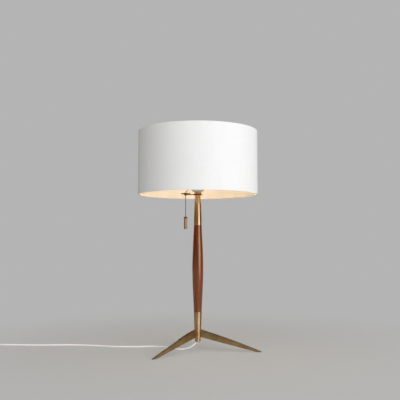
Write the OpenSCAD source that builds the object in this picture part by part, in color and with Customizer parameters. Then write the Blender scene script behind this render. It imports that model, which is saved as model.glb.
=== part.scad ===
// Table lamp: a walnut spindle between brass ends on three blade legs, with a drum shade,
// a pull chain that runs over a guide arm, a harp, a bulb and a coiled mains cord.
// Millimetres, +Z up. The origin is on the floor, on the axis of the stem.

/* [Legs] */
// Radius of the circle that the three leg tips stand on
foot_circle = 201; // [150:1:240]
// Direction of the back leg, in degrees from +X
leg_turn = 109.4; // [90:0.2:130]
// Thickness of a leg blade at the ferrule
leg_thick = 5.5; // [4:0.1:6.5]
// Thickness of a leg blade at its tip
leg_tip_thick = 4.5; // [3.8:0.1:5.5]
// Height of a leg's upper edge at the ferrule
leg_top_z = 65.4; // [60:0.2:72]
// Height of a leg's lower edge at the ferrule
leg_under_z = 41.6; // [38:0.2:48]
// How far the upper edge bows up at mid-length
leg_bow = 2.6; // [0:0.1:5]
// Length of the flat sole behind the tip
sole_l = 17; // [14:0.5:24]
// Height of the blade at its tip
tip_h = 1.2; // [0.8:0.1:3]
// Thickness of a clear glide under a tip
glide_t = 1; // [0.6:0.1:2]
// Width of a glide
glide_w = 3.4; // [2.6:0.1:3.7]
// Length of a glide
glide_l = 12; // [8:0.5:13]

/* [Stem] */
// Height of the ferrule's open mouth over the floor
mouth_z = 27.6; // [24:0.2:32]
// Height of the lower ferrule
ferrule_h = 91.7; // [80:0.5:110]
// Radius of the ferrule at its mouth
mouth_r = 8.6; // [8.4:0.1:9.2]
// How far the ferrule's side bows out
ferrule_bow = 0.45; // [0:0.05:1]
// Radius of the stem where brass meets wood
joint_r = 12.45; // [11.5:0.05:14]
// Height of the walnut spindle between the two brass ends
spindle_h = 272.7; // [220:0.5:320]
// How far the spindle swells at its middle
spindle_swell = 4.95; // [2:0.05:8]
// Exponent of the swell: more draws the ends in
spindle_fullness = 1.35; // [1:0.05:2]
// Radius of the spigots that the spindle plugs into the brass with
spigot_r = 8; // [7:0.1:9]
// Length of a spigot
spigot_l = 18; // [12:0.5:24]
// Height of the brass neck
neck_h = 97; // [80:0.5:120]
// Radius of the neck's top
neck_top_r = 8.4; // [7.4:0.1:9]
// Exponent of the neck's taper: more keeps its foot wider
neck_shape = 1.75; // [1.2:0.05:2.4]
// Wall of the hollow neck
neck_wall = 1.6; // [1:0.1:1.8]
// Thickness of the neck's closed top
neck_roof = 5; // [3:0.5:8]
// Outer radius of the threaded pipe
pipe_r = 5.1; // [4.8:0.05:5.3]
// Radius of the pipe's bore
pipe_bore_r = 3.6; // [3.3:0.05:3.9]
// Radial play between the pipe and what it passes through
pipe_play = 0.2; // [0.1:0.05:0.4]

/* [Underside fittings] */
// Radius of the counterbore in the ferrule's mouth
well_r = 6.7; // [6.5:0.05:6.9]
// Wall left between the counterbore and a leg's slot
slot_wall = 1.2; // [0.9:0.05:1.3]
// Depth of the counterbore
well_depth = 28.4; // [26:0.2:32]
// Thickness of the toothed washer
washer_t = 1; // [0.6:0.1:1.6]
// Thickness of the round nut
nut_t = 5; // [3.5:0.1:6]
// Width of the two spanner slots in the round nut
nut_slot = 1.6; // [1:0.1:2.4]
// How far the pipe stands out of the nut
pipe_stub = 1; // [0.5:0.1:2]
// Radius of the strain relief at its head
relief_head_r = 5; // [4.2:0.1:6]
// Radius of the strain relief at its tip
relief_tip_r = 3.1; // [2.9:0.05:3.3]

/* [Guide arm] */
// Outer radius of the arm's ring round the stem
ring_r = 13.8; // [12:0.1:15]
// Thickness of that ring
ring_t = 3; // [2.4:0.1:4]
// Radius of the arm's rod
arm_r = 1.4; // [1:0.05:1.5]
// Distance of the eyelet from the stem's axis
guide_x = 39; // [35:0.5:45]
// Radius of the domed disc
disc_r = 15.2; // [10:0.1:17]
// Thickness of the disc
disc_t = 1.8; // [1:0.1:2]
// How far the disc's middle stands over its rim
disc_rise = 1.5; // [0.4:0.1:2]
// Outer radius of the boss under the disc
boss_r = 5; // [4.8:0.1:6]
// Outer radius of the eyelet's shank
eyelet_r = 3.4; // [3.2:0.05:3.8]
// Bore radius of the eyelet
eyelet_bore_r = 2.4; // [2.1:0.05:2.7]
// Radius of the eyelet's two flanges
eyelet_flange_r = 4.6; // [4.2:0.1:5.5]
// Thickness of an eyelet flange
eyelet_flange_t = 0.8; // [0.5:0.1:1.2]

/* [Pull chain] */
// Radius of a bead
bead_r = 1.6; // [1.2:0.05:1.75]
// Distance between beads
bead_pitch = 4.4; // [3.8:0.1:5.5]
// Radius of the wire between beads
link_r = 0.5; // [0.3:0.05:0.8]
// Distance from the eyelet down to the pull
chain_drop = 68; // [40:0.5:90]
// Radius of the pull's cap
pull_cap_r = 6; // [5:0.1:7]
// Height of the pull's cap
pull_cap_h = 6; // [4:0.1:8]
// Radius of the pull's body at its top
pull_top_r = 4.8; // [3.6:0.1:5]
// Radius of the pull's body at its foot
pull_foot_r = 5.3; // [4:0.1:5.5]
// Height of the pull's body
pull_h = 33.5; // [24:0.5:44]

/* [Socket] */
// Outer radius of the check ring
collar_r = 11.7; // [10:0.1:12.5]
// Height of the check ring
collar_h = 6; // [4:0.1:9]
// Radius of the cap's foot
cap_foot_r = 13.4; // [12:0.1:14.5]
// Outer radius of the cap's rim
cap_r = 20.4; // [20.2:0.1:21]
// Height of the cap's flare
cap_flare_h = 8; // [6:0.1:8.2]
// Height of the cap's straight rim
cap_rim_h = 3; // [2:0.1:3.4]
// Thickness of the drawn brass of the cap and the shell
sheet_t = 0.6; // [0.4:0.05:0.7]
// Outer radius of the threaded bushing in the cap
bushing_r = 7.5; // [6.8:0.1:8]
// Height of the bushing
bushing_h = 9; // [7:0.1:9.4]
// Outer radius of the socket shell
shell_r = 19.3; // [19.1:0.05:19.4]
// Thickness of the paper insulator in the shell
paper_t = 0.5; // [0.3:0.05:0.6]
// Outer radius of the switch body
body_r = 17.4; // [17:0.05:17.6]
// Height of the wiring space under the switch body
wiring_h = 14.4; // [14:0.1:16]
// Height of the switch body
body_h = 26; // [25:0.1:28]
// Height of the cup on top of the switch body
cup_h = 20; // [15:0.1:21]
// Bore radius of the screw shell
thread_r = 13.08; // [13.05:0.01:13.1]
// Wall of the screw shell
thread_t = 0.5; // [0.3:0.05:0.6]
// Height of the screw shell
thread_h = 22; // [18:0.1:24]
// Radius of a terminal screw's head
terminal_r = 3; // [2.4:0.1:3.4]

/* [Switch] */
// Distance of the chain wheel from the stem's axis
wheel_x = 8.4; // [8:0.1:8.8]
// Height of the chain wheel's axle over the switch body's foot
wheel_h = 14.7; // [14.3:0.1:15.2]
// Radius at which the chain runs on the wheel
wheel_pitch_r = 6; // [5.7:0.05:6.2]
// Radius of the wheel's flanges
wheel_flange_r = 7.2; // [6.6:0.05:7.6]
// Radius of the wheel's axle
axle_r = 1.5; // [1.2:0.05:1.8]
// Running play between the wheel and its axle
axle_play = 0.06; // [0.03:0.01:0.1]
// Outer radius of the chain outlet's tube
outlet_r = 2.6; // [2.4:0.05:2.9]
// Radius of the outlet's bell mouth
outlet_mouth_r = 4.2; // [3.4:0.1:4.4]

/* [Harp] */
// Width of the saddle's strip
saddle_w = 12.7; // [11.5:0.1:15]
// Thickness of the saddle's strip
saddle_t = 1.6; // [1.2:0.1:2]
// Distance of a wing's middle from the axis
wing_y = 32; // [30:0.5:36]
// Bend radius of a wing
wing_bend = 10; // [8:0.5:11]
// Height of a wing above its bend
wing_h = 4; // [2:0.5:8]
// Radius of the harp's wire and the wing's post
wire_r = 1.8; // [1.5:0.05:2]
// Height of the post that the harp stands on
post_h = 6; // [4:0.5:6.5]
// Length of the harp's straight leg
harp_leg = 15.2; // [15:0.1:24]
// Radius of the harp's lower bends
harp_low_r = 40; // [35:0.5:46]
// Radius of the harp's long bows
harp_bow_r = 90; // [84:0.5:98]
// Radius of the harp's upper corners
harp_top_r = 26; // [22:0.5:30]
// Outer radius of a locking sleeve
sleeve_r = 3.4; // [2.8:0.1:4]
// Height of a locking sleeve
sleeve_h = 12; // [10:0.1:12.5]
// Running play of a sleeve on the wire
sleeve_play = 0.08; // [0.05:0.01:0.1]
// Radius of the block that carries the shade
seat_r = 7.5; // [6.5:0.1:9]
// Radius of the stud over the block
stud_r = 3.3; // [3:0.05:3.5]
// Length of the stud
stud_h = 11; // [8:0.1:12]

/* [Bulb] */
// Radius of the screw base
base_r = 13; // [12.99:0.01:13.02]
// Height of the metal screw base
base_h = 23; // [22:0.5:26]
// Radius of the glass at its neck
bulb_neck_r = 13.6; // [13:0.1:15]
// Radius of the globe
globe_r = 30; // [24:0.5:32]
// Height of the globe's centre over the base
globe_h = 53; // [46:0.5:56]
// Thickness of the glass
glass_t = 0.8; // [0.6:0.05:1.2]

/* [Shade] */
// Outer radius of the drum
shade_r = 190.5; // [150:0.5:210]
// Height of the drum
shade_h = 201.7; // [170:0.5:220]
// Thickness of the fabric
fabric_t = 0.8; // [0.6:0.05:1.2]
// Thickness of the stiff lining
liner_t = 0.5; // [0.3:0.05:0.8]
// Radius of the ring wires
hoop_wire_r = 1.3; // [1:0.05:1.6]
// Height of a hem tape inside the drum
hem_h = 8; // [5:0.5:12]
// Thickness of a hem tape
hem_t = 0.4; // [0.3:0.05:0.6]
// How far the spider's washer lies under the drum's top edge
spider_drop = 8.6; // [6:0.1:14]
// Outer radius of the spider's washer
spider_r = 12; // [11:0.1:15]
// Thickness of the spider's washer
spider_t = 1.6; // [1.2:0.1:2.2]
// Radius of a spider arm's wire
spider_wire_r = 1.4; // [1:0.05:1.6]
// Running play of the washer on the stud
spider_play = 0.08; // [0.05:0.01:0.1]
// Radius of the finial's ball
finial_r = 8; // [6:0.1:10]
// Radius of the finial's foot
finial_foot_r = 7.4; // [6:0.1:8.5]
// Height of the finial's stem under its ball
finial_stem_h = 7; // [5:0.1:10]

/* [Cord] */
// Diameter of the mains cord
cord_d = 5; // [4.6:0.1:5.3]
// Distance between the coil's turns, middle to middle
coil_pitch = 5.7; // [5.7:0.1:6.4]
// Radius at the middle of the coil's turns
coil_mid_r = 30; // [29:0.5:36]
// Width of the coil's tie
tie_w = 9; // [6:0.5:14]
// Thickness of the coil's tie
tie_t = 0.8; // [0.6:0.05:0.9]
// Width of the plug's body
plug_w = 24; // [22:0.5:30]
// Thickness of the plug's body
plug_t = 13; // [12:0.2:16]
// Length of the plug's body
plug_l = 28; // [24:0.5:36]
// Length of the plug's strain relief
plug_relief_l = 25; // [20:0.5:35]

/* [Hidden] */
$fn = 64;
eps = 0.01;

BRASS = [0.72, 0.55, 0.3];
OLD_BRASS = [0.5, 0.4, 0.26];
DARK_BRASS = [0.42, 0.3, 0.14];
STEEL = [0.62, 0.62, 0.6];
WALNUT = [0.42, 0.21, 0.11];
PHENOLIC = [0.12, 0.1, 0.09];
WHITE = [0.93, 0.92, 0.9];
CREAM = [0.95, 0.88, 0.75];
CLEAR = [0.85, 0.88, 0.88];

// Clearances between pieces that touch or nearly touch
flat_gap = 0.1;
round_gap = 0.3;
thin_gap = 0.05;

// Small sizes that several pieces share
set_screw_r = 1.55;
drive_slot = 0.8;
screw_shank_r = 1.6;
lead_r = 1.1;

// Heights of the stack, from the floor up
ferrule_top_z = mouth_z + ferrule_h;
spindle_top_z = ferrule_top_z + spindle_h;
ring_z = spindle_top_z + neck_h;
collar_z = ring_z + ring_t;
saddle_z = collar_z + collar_h;
cap_z = saddle_z + saddle_t;
body_z = cap_z + wiring_h;
body_top_z = body_z + body_h;
shell_z = cap_z + cap_flare_h + thin_gap;
shell_top_z = body_top_z + thread_h + 4;
pipe_hole_r = pipe_r + pipe_play;
set_screw_z = cap_z + bushing_h / 2 + 0.5;
terminal_z = body_z + 5;

// Ferrule
slot_floor_r = well_r + slot_wall;
well_top_z = mouth_z + well_depth;
nut_z = well_top_z - washer_t - nut_t;
pipe_foot_z = nut_z - pipe_stub;
pipe_top_z = cap_z + bushing_h;
under_slope = (leg_under_z - glide_t) / (foot_circle - sole_l - slot_floor_r);

// Guide arm, eyelet and chain
arm_z = ring_z + ring_t / 2;
disc_rim_z = arm_z + arm_r + flat_gap;
disc_under_z = disc_rim_z + disc_rise;
boss_foot_z = arm_z - arm_r - 0.3;
eyelet_top_z = disc_under_z + disc_t + eyelet_flange_t;
eyelet_foot_z = boss_foot_z - eyelet_flange_t;
swing_z = eyelet_foot_z - bead_r;
pull_top_z = eyelet_foot_z - chain_drop;
pull_foot_z = pull_top_z - pull_cap_h - pull_h;

// The chain's straight run from the eyelet's top to where it meets the wheel
wheel_z = body_z + wheel_h;
run_to_wheel = norm([guide_x - wheel_x, wheel_z - eyelet_top_z]);
chain_rise = atan2(wheel_z - eyelet_top_z, guide_x - wheel_x) + asin(wheel_pitch_r / run_to_wheel);
chain_run = sqrt(run_to_wheel * run_to_wheel - wheel_pitch_r * wheel_pitch_r);
chain_wrap = 110;
outlet_in = (guide_x - body_r) / cos(chain_rise);
outlet_out = (guide_x - shell_r) / cos(chain_rise) - 8.5;

// Harp: angle of its lower bends, angle of its upper corners, then the curve's corner points
low_bend = 35;
top_bend = 45;
wing_top_z = saddle_z + wing_bend + wing_h;
harp_foot_z = wing_top_z + post_h;
harp_a = [wing_y, harp_foot_z + harp_leg];
harp_b = harp_a + harp_low_r * [1 - cos(low_bend), sin(low_bend)];
harp_bow_mid = harp_b + harp_bow_r * [-cos(low_bend), sin(low_bend)];
harp_c = harp_bow_mid + harp_bow_r * [cos(top_bend), sin(top_bend)];
harp_top_mid = harp_c - harp_top_r * [cos(top_bend), sin(top_bend)];
harp_top_z = harp_top_mid[1] + harp_top_r;
seat_z = harp_top_z + wire_r + 1.6;

// Shade, hung from the seat
spider_z = seat_z + flat_gap;
shade_top_z = spider_z + spider_drop;
shade_foot_z = shade_top_z - shade_h;
liner_r = shade_r - fabric_t - thin_gap;
hoop_r = liner_r - liner_t - thin_gap - hoop_wire_r;
hoop_top_z = shade_top_z - hem_t - thin_gap - hoop_wire_r;
hoop_foot_z = shade_foot_z + hem_t + thin_gap + hoop_wire_r;
hem_in_r = hoop_r - hoop_wire_r - thin_gap - hem_t;
arm_turns = [90, 210, 330];
arm_in = spider_r - 2;
arm_out = hoop_r - hoop_wire_r - thin_gap;
arm_start_z = spider_z + spider_t / 2;
finial_z = spider_z + spider_t + flat_gap;

// Bulb
bulb_z = body_top_z + 1.5 + round_gap;
base_foot_z = bulb_z + 4;
glass_z = base_foot_z + base_h;

// Cord: the coil lies past the left, the plug beside it; points are chosen by hand
coil_at = [-700, 50];
coil_turns = 5.25;
coil_z = 3.5;
coil_layer = 5.6;
coil_out_r = coil_mid_r + coil_pitch * coil_turns / 4;
coil_rings = 24;
floor_z = 2.6;
tail_l = 50;
tail_end = [coil_at[0] - coil_out_r, coil_at[1] - tail_l];
plug_z = plug_t / 2 + 0.1;
cord_way = [[-3.3, 0, 28], [-9, 0, 20], [-17, 0, 13.5], [-28, 1, 7.5], [-40, 2.5, 4],
    [-55, 5, floor_z], [-72, 12, floor_z], [-89, 26, floor_z], [-106, 41, floor_z],
    [-127, 52, floor_z], [-154, 55, floor_z], [-192, 49, floor_z], [-230, 48, floor_z],
    [-267, 51, floor_z], [-325, 66, floor_z], [-373, 76, floor_z], [-422, 81, floor_z],
    [-482, 79, floor_z], [-545, 78, floor_z], [-600, 82, floor_z], [-645, 86, floor_z],
    [-680, coil_at[1] + coil_out_r, 3.2], [coil_at[0], coil_at[1] + coil_out_r, coil_z]];
relief_way = [[0, 0, pipe_foot_z - flat_gap], [0, 0, 43], [-0.4, 0, 38], [-1.5, 0, 33], [-3.3, 0, 28]];

// A point of the smooth line through b and c, whose neighbours are a and d
function through(a, b, c, d, t) = 0.5 * (2 * b + (c - a) * t + (2 * a - 5 * b + 4 * c - d) * t * t
    + (3 * b - a - 3 * c + d) * t * t * t);

// A smooth line through the points, with the given steps between two of them
function smooth(way, steps) = let(n = len(way) - 1) [
    for (i = [0:n - 1], k = [0:steps - 1])
        let(a = i > 0 ? way[i - 1] : 2 * way[0] - way[1],
            d = i < n - 1 ? way[i + 2] : 2 * way[n] - way[n - 1])
        through(a, way[i], way[i + 1], d, k / steps),
    way[n]];

function unit(v) = v / norm(v);

function heading(line, i) = unit(line[min(i + 1, len(line) - 1)] - line[max(i - 1, 0)]);

function length_of(line) = len(line) < 2 ? 0
    : let(steps = [for (i = [1:len(line) - 1]) norm(line[i] - line[i - 1])]) steps * [for (s = steps) 1];

// A closed tube along a line, with one radius for each of its points; flat_to is a
// direction that the line never runs along
module tube(line, radii, sides, flat_to) {
    rings = len(line);
    half = 180 / sides;
    points = [for (i = [0:rings - 1])
        let(along = heading(line, i), across = unit(cross(along, flat_to)), up = cross(across, along))
        for (k = [0:sides - 1])
            let(turn = 360 * k / sides + half)
            line[i] + radii[i] * (cos(turn) * across + sin(turn) * up)];
    walls = [for (i = [0:rings - 2], k = [0:sides - 1])
        let(a = i * sides + k, b = i * sides + (k + 1) % sides)
        each [[a, a + sides, b + sides], [a, b + sides, b]]];
    last = (rings - 1) * sides;
    start_cap = [for (k = [1:sides - 2]) [0, k, k + 1]];
    end_cap = [for (k = [1:sides - 2]) [last, last + k + 1, last + k]];
    polyhedron(points, concat(walls, start_cap, end_cap));
}

function even(line, r) = [for (p = line) r];

// The coil: in towards the middle on the floor, up a layer, and out again
function coil_point(a) =
    let(total = 360 * coil_turns, away = abs(a - total / 2),
        r = coil_out_r - coil_pitch * (total / 2 - away) / 360,
        lift = min(1, max(0, (a - total / 2 + 90) / 180)))
    [coil_at[0] + r * cos(90 + a), coil_at[1] + r * sin(90 + a), coil_z + coil_layer * lift];

coil_line = let(steps = coil_turns * coil_rings)
    [for (i = [0:steps]) coil_point(360 * i / coil_rings)];

coil_gap = min([for (i = [0:len(coil_line) - 1], j = [i + coil_rings / 2:1:len(coil_line) - 1])
    norm(coil_line[i] - coil_line[j])]) - cord_d;

cord_line = smooth(cord_way, 3);
tail_line = smooth([[tail_end[0], coil_at[1], coil_z + coil_layer],
    [tail_end[0], coil_at[1] - 6, coil_z + coil_layer], [tail_end[0], coil_at[1] - 24, 8],
    [tail_end[0], tail_end[1] + 8, plug_z], [tail_end[0], tail_end[1], plug_z]], 3);
echo(coil_gap = coil_gap);
echo(cord_length = length_of(cord_line) + length_of(coil_line) + length_of(tail_line) + plug_relief_l);

// Points of a turned side that goes from one radius to the other and bows out between
function bowed(r_low, r_high, z_low, z_high, bow, steps) = [for (i = [0:steps])
    let(t = i / steps)
    [r_low + (r_high - r_low) * t + 4 * bow * t * (1 - t), z_low + (z_high - z_low) * t]];

function reversed(list) = [for (i = [len(list) - 1:-1:0]) list[i]];

// A tube from one height to another round the stem's axis
module pipe(z_low, z_high, r_out, r_in) {
    translate([0, 0, z_low])
        difference() {
            cylinder(h = z_high - z_low, r = r_out);
            translate([0, 0, -1])
                cylinder(h = z_high - z_low + 2, r = r_in);
        }
}

module pipe_hole(z_low, z_high, r) {
    translate([0, 0, z_low])
        cylinder(h = z_high - z_low, r = r);
}

// A cylinder between two points
module rod(from, to, r) {
    v = to - from;
    translate(from)
        rotate([0, acos(v[2] / norm(v)), atan2(v[1], v[0])])
            cylinder(h = norm(v), r = r);
}

// What the chain's straight run passes through: its middle line is the axis
module along_chain() {
    translate([-guide_x, 0, eyelet_top_z])
        rotate([0, 90 - chain_rise, 0])
            children();
}

// Legs

function leg_upper(r) = let(t = (r - slot_floor_r) / (foot_circle - slot_floor_r))
    leg_top_z + (glide_t + tip_h - leg_top_z) * t + 4 * leg_bow * t * (1 - t);

module leg(turn) {
    steps = 14;
    upper = [for (i = [steps:-1:0])
        let(r = slot_floor_r + (foot_circle - slot_floor_r) * i / steps) [r, leg_upper(r)]];
    side = concat([[slot_floor_r, leg_under_z], [foot_circle - sole_l, glide_t], [foot_circle, glide_t]],
        upper);
    plan = [[0, -leg_thick / 2], [foot_circle, -leg_tip_thick / 2],
        [foot_circle, leg_tip_thick / 2], [0, leg_thick / 2]];
    color(OLD_BRASS)
        rotate([0, 0, turn])
            intersection() {
                rotate([90, 0, 0])
                    linear_extrude(2 * leg_thick, center = true)
                        polygon(side);
                linear_extrude(leg_top_z + 10)
                    polygon(plan);
            }
}

module leg_back() {
    leg(leg_turn);
}

module leg_left() {
    leg(leg_turn + 120);
}

module leg_right() {
    leg(leg_turn + 240);
}

module leg_glides() {
    mid = foot_circle - sole_l / 2;
    reach = (glide_l - glide_w) / 2;
    color(CLEAR)
        for (i = [0:2])
            rotate([0, 0, leg_turn + 120 * i])
                translate([mid, 0, 0]) {
                    translate([-reach, -glide_w / 2, 0])
                        cube([2 * reach, glide_w, glide_t]);
                    for (end = [-reach, reach])
                        translate([end, 0, 0])
                            cylinder(h = glide_t, d = glide_w);
                }
}

// Stem

module lower_ferrule() {
    outside = bowed(mouth_r, joint_r, mouth_z, ferrule_top_z, ferrule_bow, 16);
    slot_z = leg_under_z - under_slope * (joint_r - slot_floor_r);
    color(BRASS)
        difference() {
            rotate_extrude()
                polygon(concat([[0, mouth_z]], outside, [[0, ferrule_top_z]]));
            pipe_hole(mouth_z - 1, ferrule_top_z + 1, pipe_hole_r);
            pipe_hole(mouth_z - 1, well_top_z, well_r);
            pipe_hole(ferrule_top_z - spigot_l - flat_gap, ferrule_top_z + 1, spigot_r + thin_gap);
            for (i = [0:2])
                rotate([0, 0, leg_turn + 120 * i])
                    translate([slot_floor_r - thin_gap, -leg_thick / 2 - thin_gap, slot_z])
                        cube([joint_r, leg_thick + 2 * thin_gap, leg_top_z + thin_gap - slot_z]);
        }
}

module toothed_washer() {
    teeth = 10;
    r = well_r - round_gap;
    color(STEEL)
        difference() {
            pipe(well_top_z - washer_t, well_top_z, r, pipe_hole_r);
            for (i = [0:teeth - 1])
                rotate([0, 0, 360 * i / teeth])
                    translate([r, 0, well_top_z - washer_t - 1])
                        cylinder(h = washer_t + 2, r = 0.45);
        }
}

module round_nut() {
    color(STEEL)
        difference() {
            pipe(nut_z, nut_z + nut_t, well_r - thin_gap * 3, pipe_r + thin_gap);
            translate([-well_r, -nut_slot / 2, nut_z - 1])
                cube([2 * well_r, nut_slot, 2.2]);
        }
}

module threaded_pipe() {
    color(STEEL)
        pipe(pipe_foot_z, pipe_top_z, pipe_r, pipe_bore_r);
}

module cord_relief() {
    line = smooth(relief_way, 3);
    last = len(line) - 1;
    radii = [for (i = [0:last]) relief_head_r + (relief_tip_r - relief_head_r) * i / last];
    color(WHITE)
        tube(line, radii, 12, [0, 1, 0]);
}

module inner_cord() {
    color(WHITE)
        pipe_hole(pipe_foot_z, pipe_top_z + 1, cord_d / 2);
}

function spindle_r(t) = joint_r + spindle_swell * pow(sin(180 * t), spindle_fullness);

module walnut_spindle() {
    steps = 30;
    side = [for (i = [0:steps]) [spindle_r(i / steps), ferrule_top_z + spindle_h * i / steps]];
    color(WALNUT)
        difference() {
            union() {
                rotate_extrude()
                    polygon(concat([[0, ferrule_top_z]], side, [[0, spindle_top_z]]));
                pipe_hole(ferrule_top_z - spigot_l, spindle_top_z + spigot_l, spigot_r);
            }
            pipe_hole(ferrule_top_z - spigot_l - 1, spindle_top_z + spigot_l + 1, pipe_hole_r);
        }
}

function neck_r(t) = neck_top_r + (joint_r - neck_top_r) * (1 - pow(t, neck_shape));

module brass_neck() {
    steps = 16;
    outside = [for (i = [0:steps]) [neck_r(i / steps), spindle_top_z + neck_h * i / steps]];
    hollow_z = spindle_top_z + spigot_l + flat_gap;
    roof_z = ring_z - neck_roof;
    hollow = [for (i = [0:steps])
        let(z = hollow_z + (roof_z - hollow_z) * i / steps)
        [min(spigot_r + thin_gap, neck_r((z - spindle_top_z) / neck_h) - neck_wall), z]];
    color(BRASS)
        rotate_extrude()
            polygon(concat([[spigot_r + thin_gap, spindle_top_z]], outside,
                [[pipe_hole_r, ring_z], [pipe_hole_r, roof_z]], reversed(hollow)));
}

// Guide arm

module guide_arm() {
    color(DARK_BRASS)
        difference() {
            union() {
                pipe_hole(ring_z, ring_z + ring_t, ring_r);
                rod([-ring_r + 2, 0, arm_z], [-guide_x + boss_r - 0.6, 0, arm_z], arm_r);
                translate([-guide_x, 0, 0])
                    pipe_hole(boss_foot_z, disc_under_z, boss_r);
            }
            pipe_hole(ring_z - 1, ring_z + ring_t + 1, pipe_hole_r);
            translate([-guide_x, 0, 0])
                pipe_hole(boss_foot_z - 1, disc_under_z + 1, eyelet_r + thin_gap);
        }
}

module guide_disc() {
    steps = 8;
    hole_r = eyelet_r + thin_gap;
    flat_r = boss_r;
    dome = [for (i = [0:steps])
        let(t = i / steps) [flat_r + (disc_r - flat_r) * t, -disc_rise * t * t]];
    color(DARK_BRASS)
        translate([-guide_x, 0, disc_under_z])
            rotate_extrude()
                polygon(concat([[hole_r, 0]], dome, reversed([for (p = dome) p + [0, disc_t]]),
                    [[hole_r, disc_t]]));
}

module guide_eyelet() {
    color(BRASS)
        translate([-guide_x, 0, 0])
            difference() {
                union() {
                    pipe_hole(eyelet_foot_z, eyelet_top_z, eyelet_r);
                    pipe_hole(eyelet_foot_z, boss_foot_z, eyelet_flange_r);
                    pipe_hole(eyelet_top_z - eyelet_flange_t, eyelet_top_z, eyelet_flange_r);
                }
                pipe_hole(eyelet_foot_z - 1, eyelet_top_z + 1, eyelet_bore_r);
            }
}

// Pull chain

module bead(at) {
    translate(at)
        sphere(r = bead_r);
}

module upper_chain() {
    hang = eyelet_top_z - swing_z;
    hang_beads = max(1, round(hang / bead_pitch));
    run_beads = round(chain_run / bead_pitch);
    way = [cos(chain_rise), 0, sin(chain_rise)];
    eye = [-guide_x, 0, eyelet_top_z];
    wrap_step = chain_wrap / 3;
    color(STEEL) {
        for (i = [0:hang_beads - 1])
            bead([-guide_x, 0, eyelet_top_z - i * hang / hang_beads]);
        rod([-guide_x, 0, swing_z + bead_r + round_gap], eye, link_r);
        for (i = [1:run_beads])
            bead(eye + way * i * chain_run / run_beads);
        rod(eye, eye + way * chain_run, link_r);
        translate([-wheel_x, 0, wheel_z])
            for (i = [0:3]) {
                turn = chain_rise + 90 - i * wrap_step;
                bead(wheel_pitch_r * [cos(turn), 0, sin(turn)]);
                if (i < 3)
                    rod(wheel_pitch_r * [cos(turn), 0, sin(turn)],
                        wheel_pitch_r * [cos(turn - wrap_step), 0, sin(turn - wrap_step)], link_r);
            }
    }
}

module lower_chain() {
    last_z = pull_top_z + round_gap + bead_r;
    beads = round((swing_z - last_z) / bead_pitch);
    color(STEEL) {
        for (i = [0:beads])
            bead([-guide_x, 0, swing_z + (last_z - swing_z) * i / beads]);
        rod([-guide_x, 0, last_z], [-guide_x, 0, swing_z], link_r);
    }
}

module pull_cap() {
    foot_z = pull_top_z - pull_cap_h;
    color(DARK_BRASS)
        translate([-guide_x, 0, foot_z])
            rotate_extrude()
                polygon([[0, 0], [pull_cap_r - 0.4, 0], [pull_cap_r, 0.4], [pull_cap_r, pull_cap_h / 2],
                    [pull_cap_r * 0.7, pull_cap_h * 0.8], [pull_cap_r * 0.4, pull_cap_h], [0, pull_cap_h]]);
}

module pull_body() {
    color(BRASS)
        translate([-guide_x, 0, pull_foot_z])
            rotate_extrude()
                polygon([[0, 0], [pull_foot_r - 0.5, 0], [pull_foot_r, 0.5], [pull_top_r, pull_h],
                    [0, pull_h]]);
}

// Socket

module check_ring() {
    color(BRASS)
        pipe(collar_z, saddle_z, collar_r, pipe_hole_r);
}

function cap_side(inset) = [for (a = [0:15:90])
    [cap_foot_r + (cap_r - cap_foot_r) * sin(a) - inset, cap_flare_h * (1 - cos(a))]];

module socket_cap() {
    outside = cap_side(0);
    inside = [for (p = cap_side(sheet_t)) [p[0], max(p[1], sheet_t)]];
    rim_h = cap_flare_h + cap_rim_h;
    color(BRASS)
        translate([0, 0, cap_z])
            difference() {
                rotate_extrude()
                    polygon(concat([[0, 0]], outside, [[cap_r, rim_h], [cap_r - sheet_t, rim_h]],
                        reversed(inside), [[0, sheet_t]]));
                pipe_hole(-1, sheet_t + 1, pipe_hole_r);
            }
}

module cap_bushing() {
    color(STEEL)
        difference() {
            pipe(cap_z + sheet_t, cap_z + bushing_h, bushing_r, pipe_r + flat_gap);
            rod([0, 0, set_screw_z], [bushing_r + 2, 0, set_screw_z], set_screw_r + flat_gap);
        }
}

module set_screw() {
    head_x = bushing_r + 0.8;
    head_h = 1.6;
    head_r = 2.6;
    color(STEEL)
        difference() {
            union() {
                rod([pipe_r + thin_gap, 0, set_screw_z], [head_x + 0.2, 0, set_screw_z], set_screw_r);
                rod([head_x, 0, set_screw_z], [head_x + head_h, 0, set_screw_z], head_r);
            }
            translate([head_x + head_h - 0.6, -head_r - 1, set_screw_z - drive_slot / 2])
                cube([1, 2 * head_r + 2, drive_slot]);
        }
}

// One lead, from the top of the cord to its terminal screw
module lead(side) {
    top_z = pipe_top_z + 1;
    way = [[0, side * 1.35, top_z + flat_gap], [0, side * 1.4, top_z + 0.9], [0, side * 2.8, body_z - 2.4],
        [0, side * 5.5, body_z - 1.7], [0, side * 9.5, body_z - 1.5], [0, side * 12.9, body_z - 0.6],
        [0, side * 13.8, body_z + 1.4], [0, side * 13.8, terminal_z - screw_shank_r - 0.2]];
    line = smooth(way, 3);
    tube(line, even(line, lead_r), 8, [1, 0, 0]);
}

module lead_front() {
    color(PHENOLIC)
        lead(-1);
}

module lead_back() {
    color(WHITE)
        lead(1);
}

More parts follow.
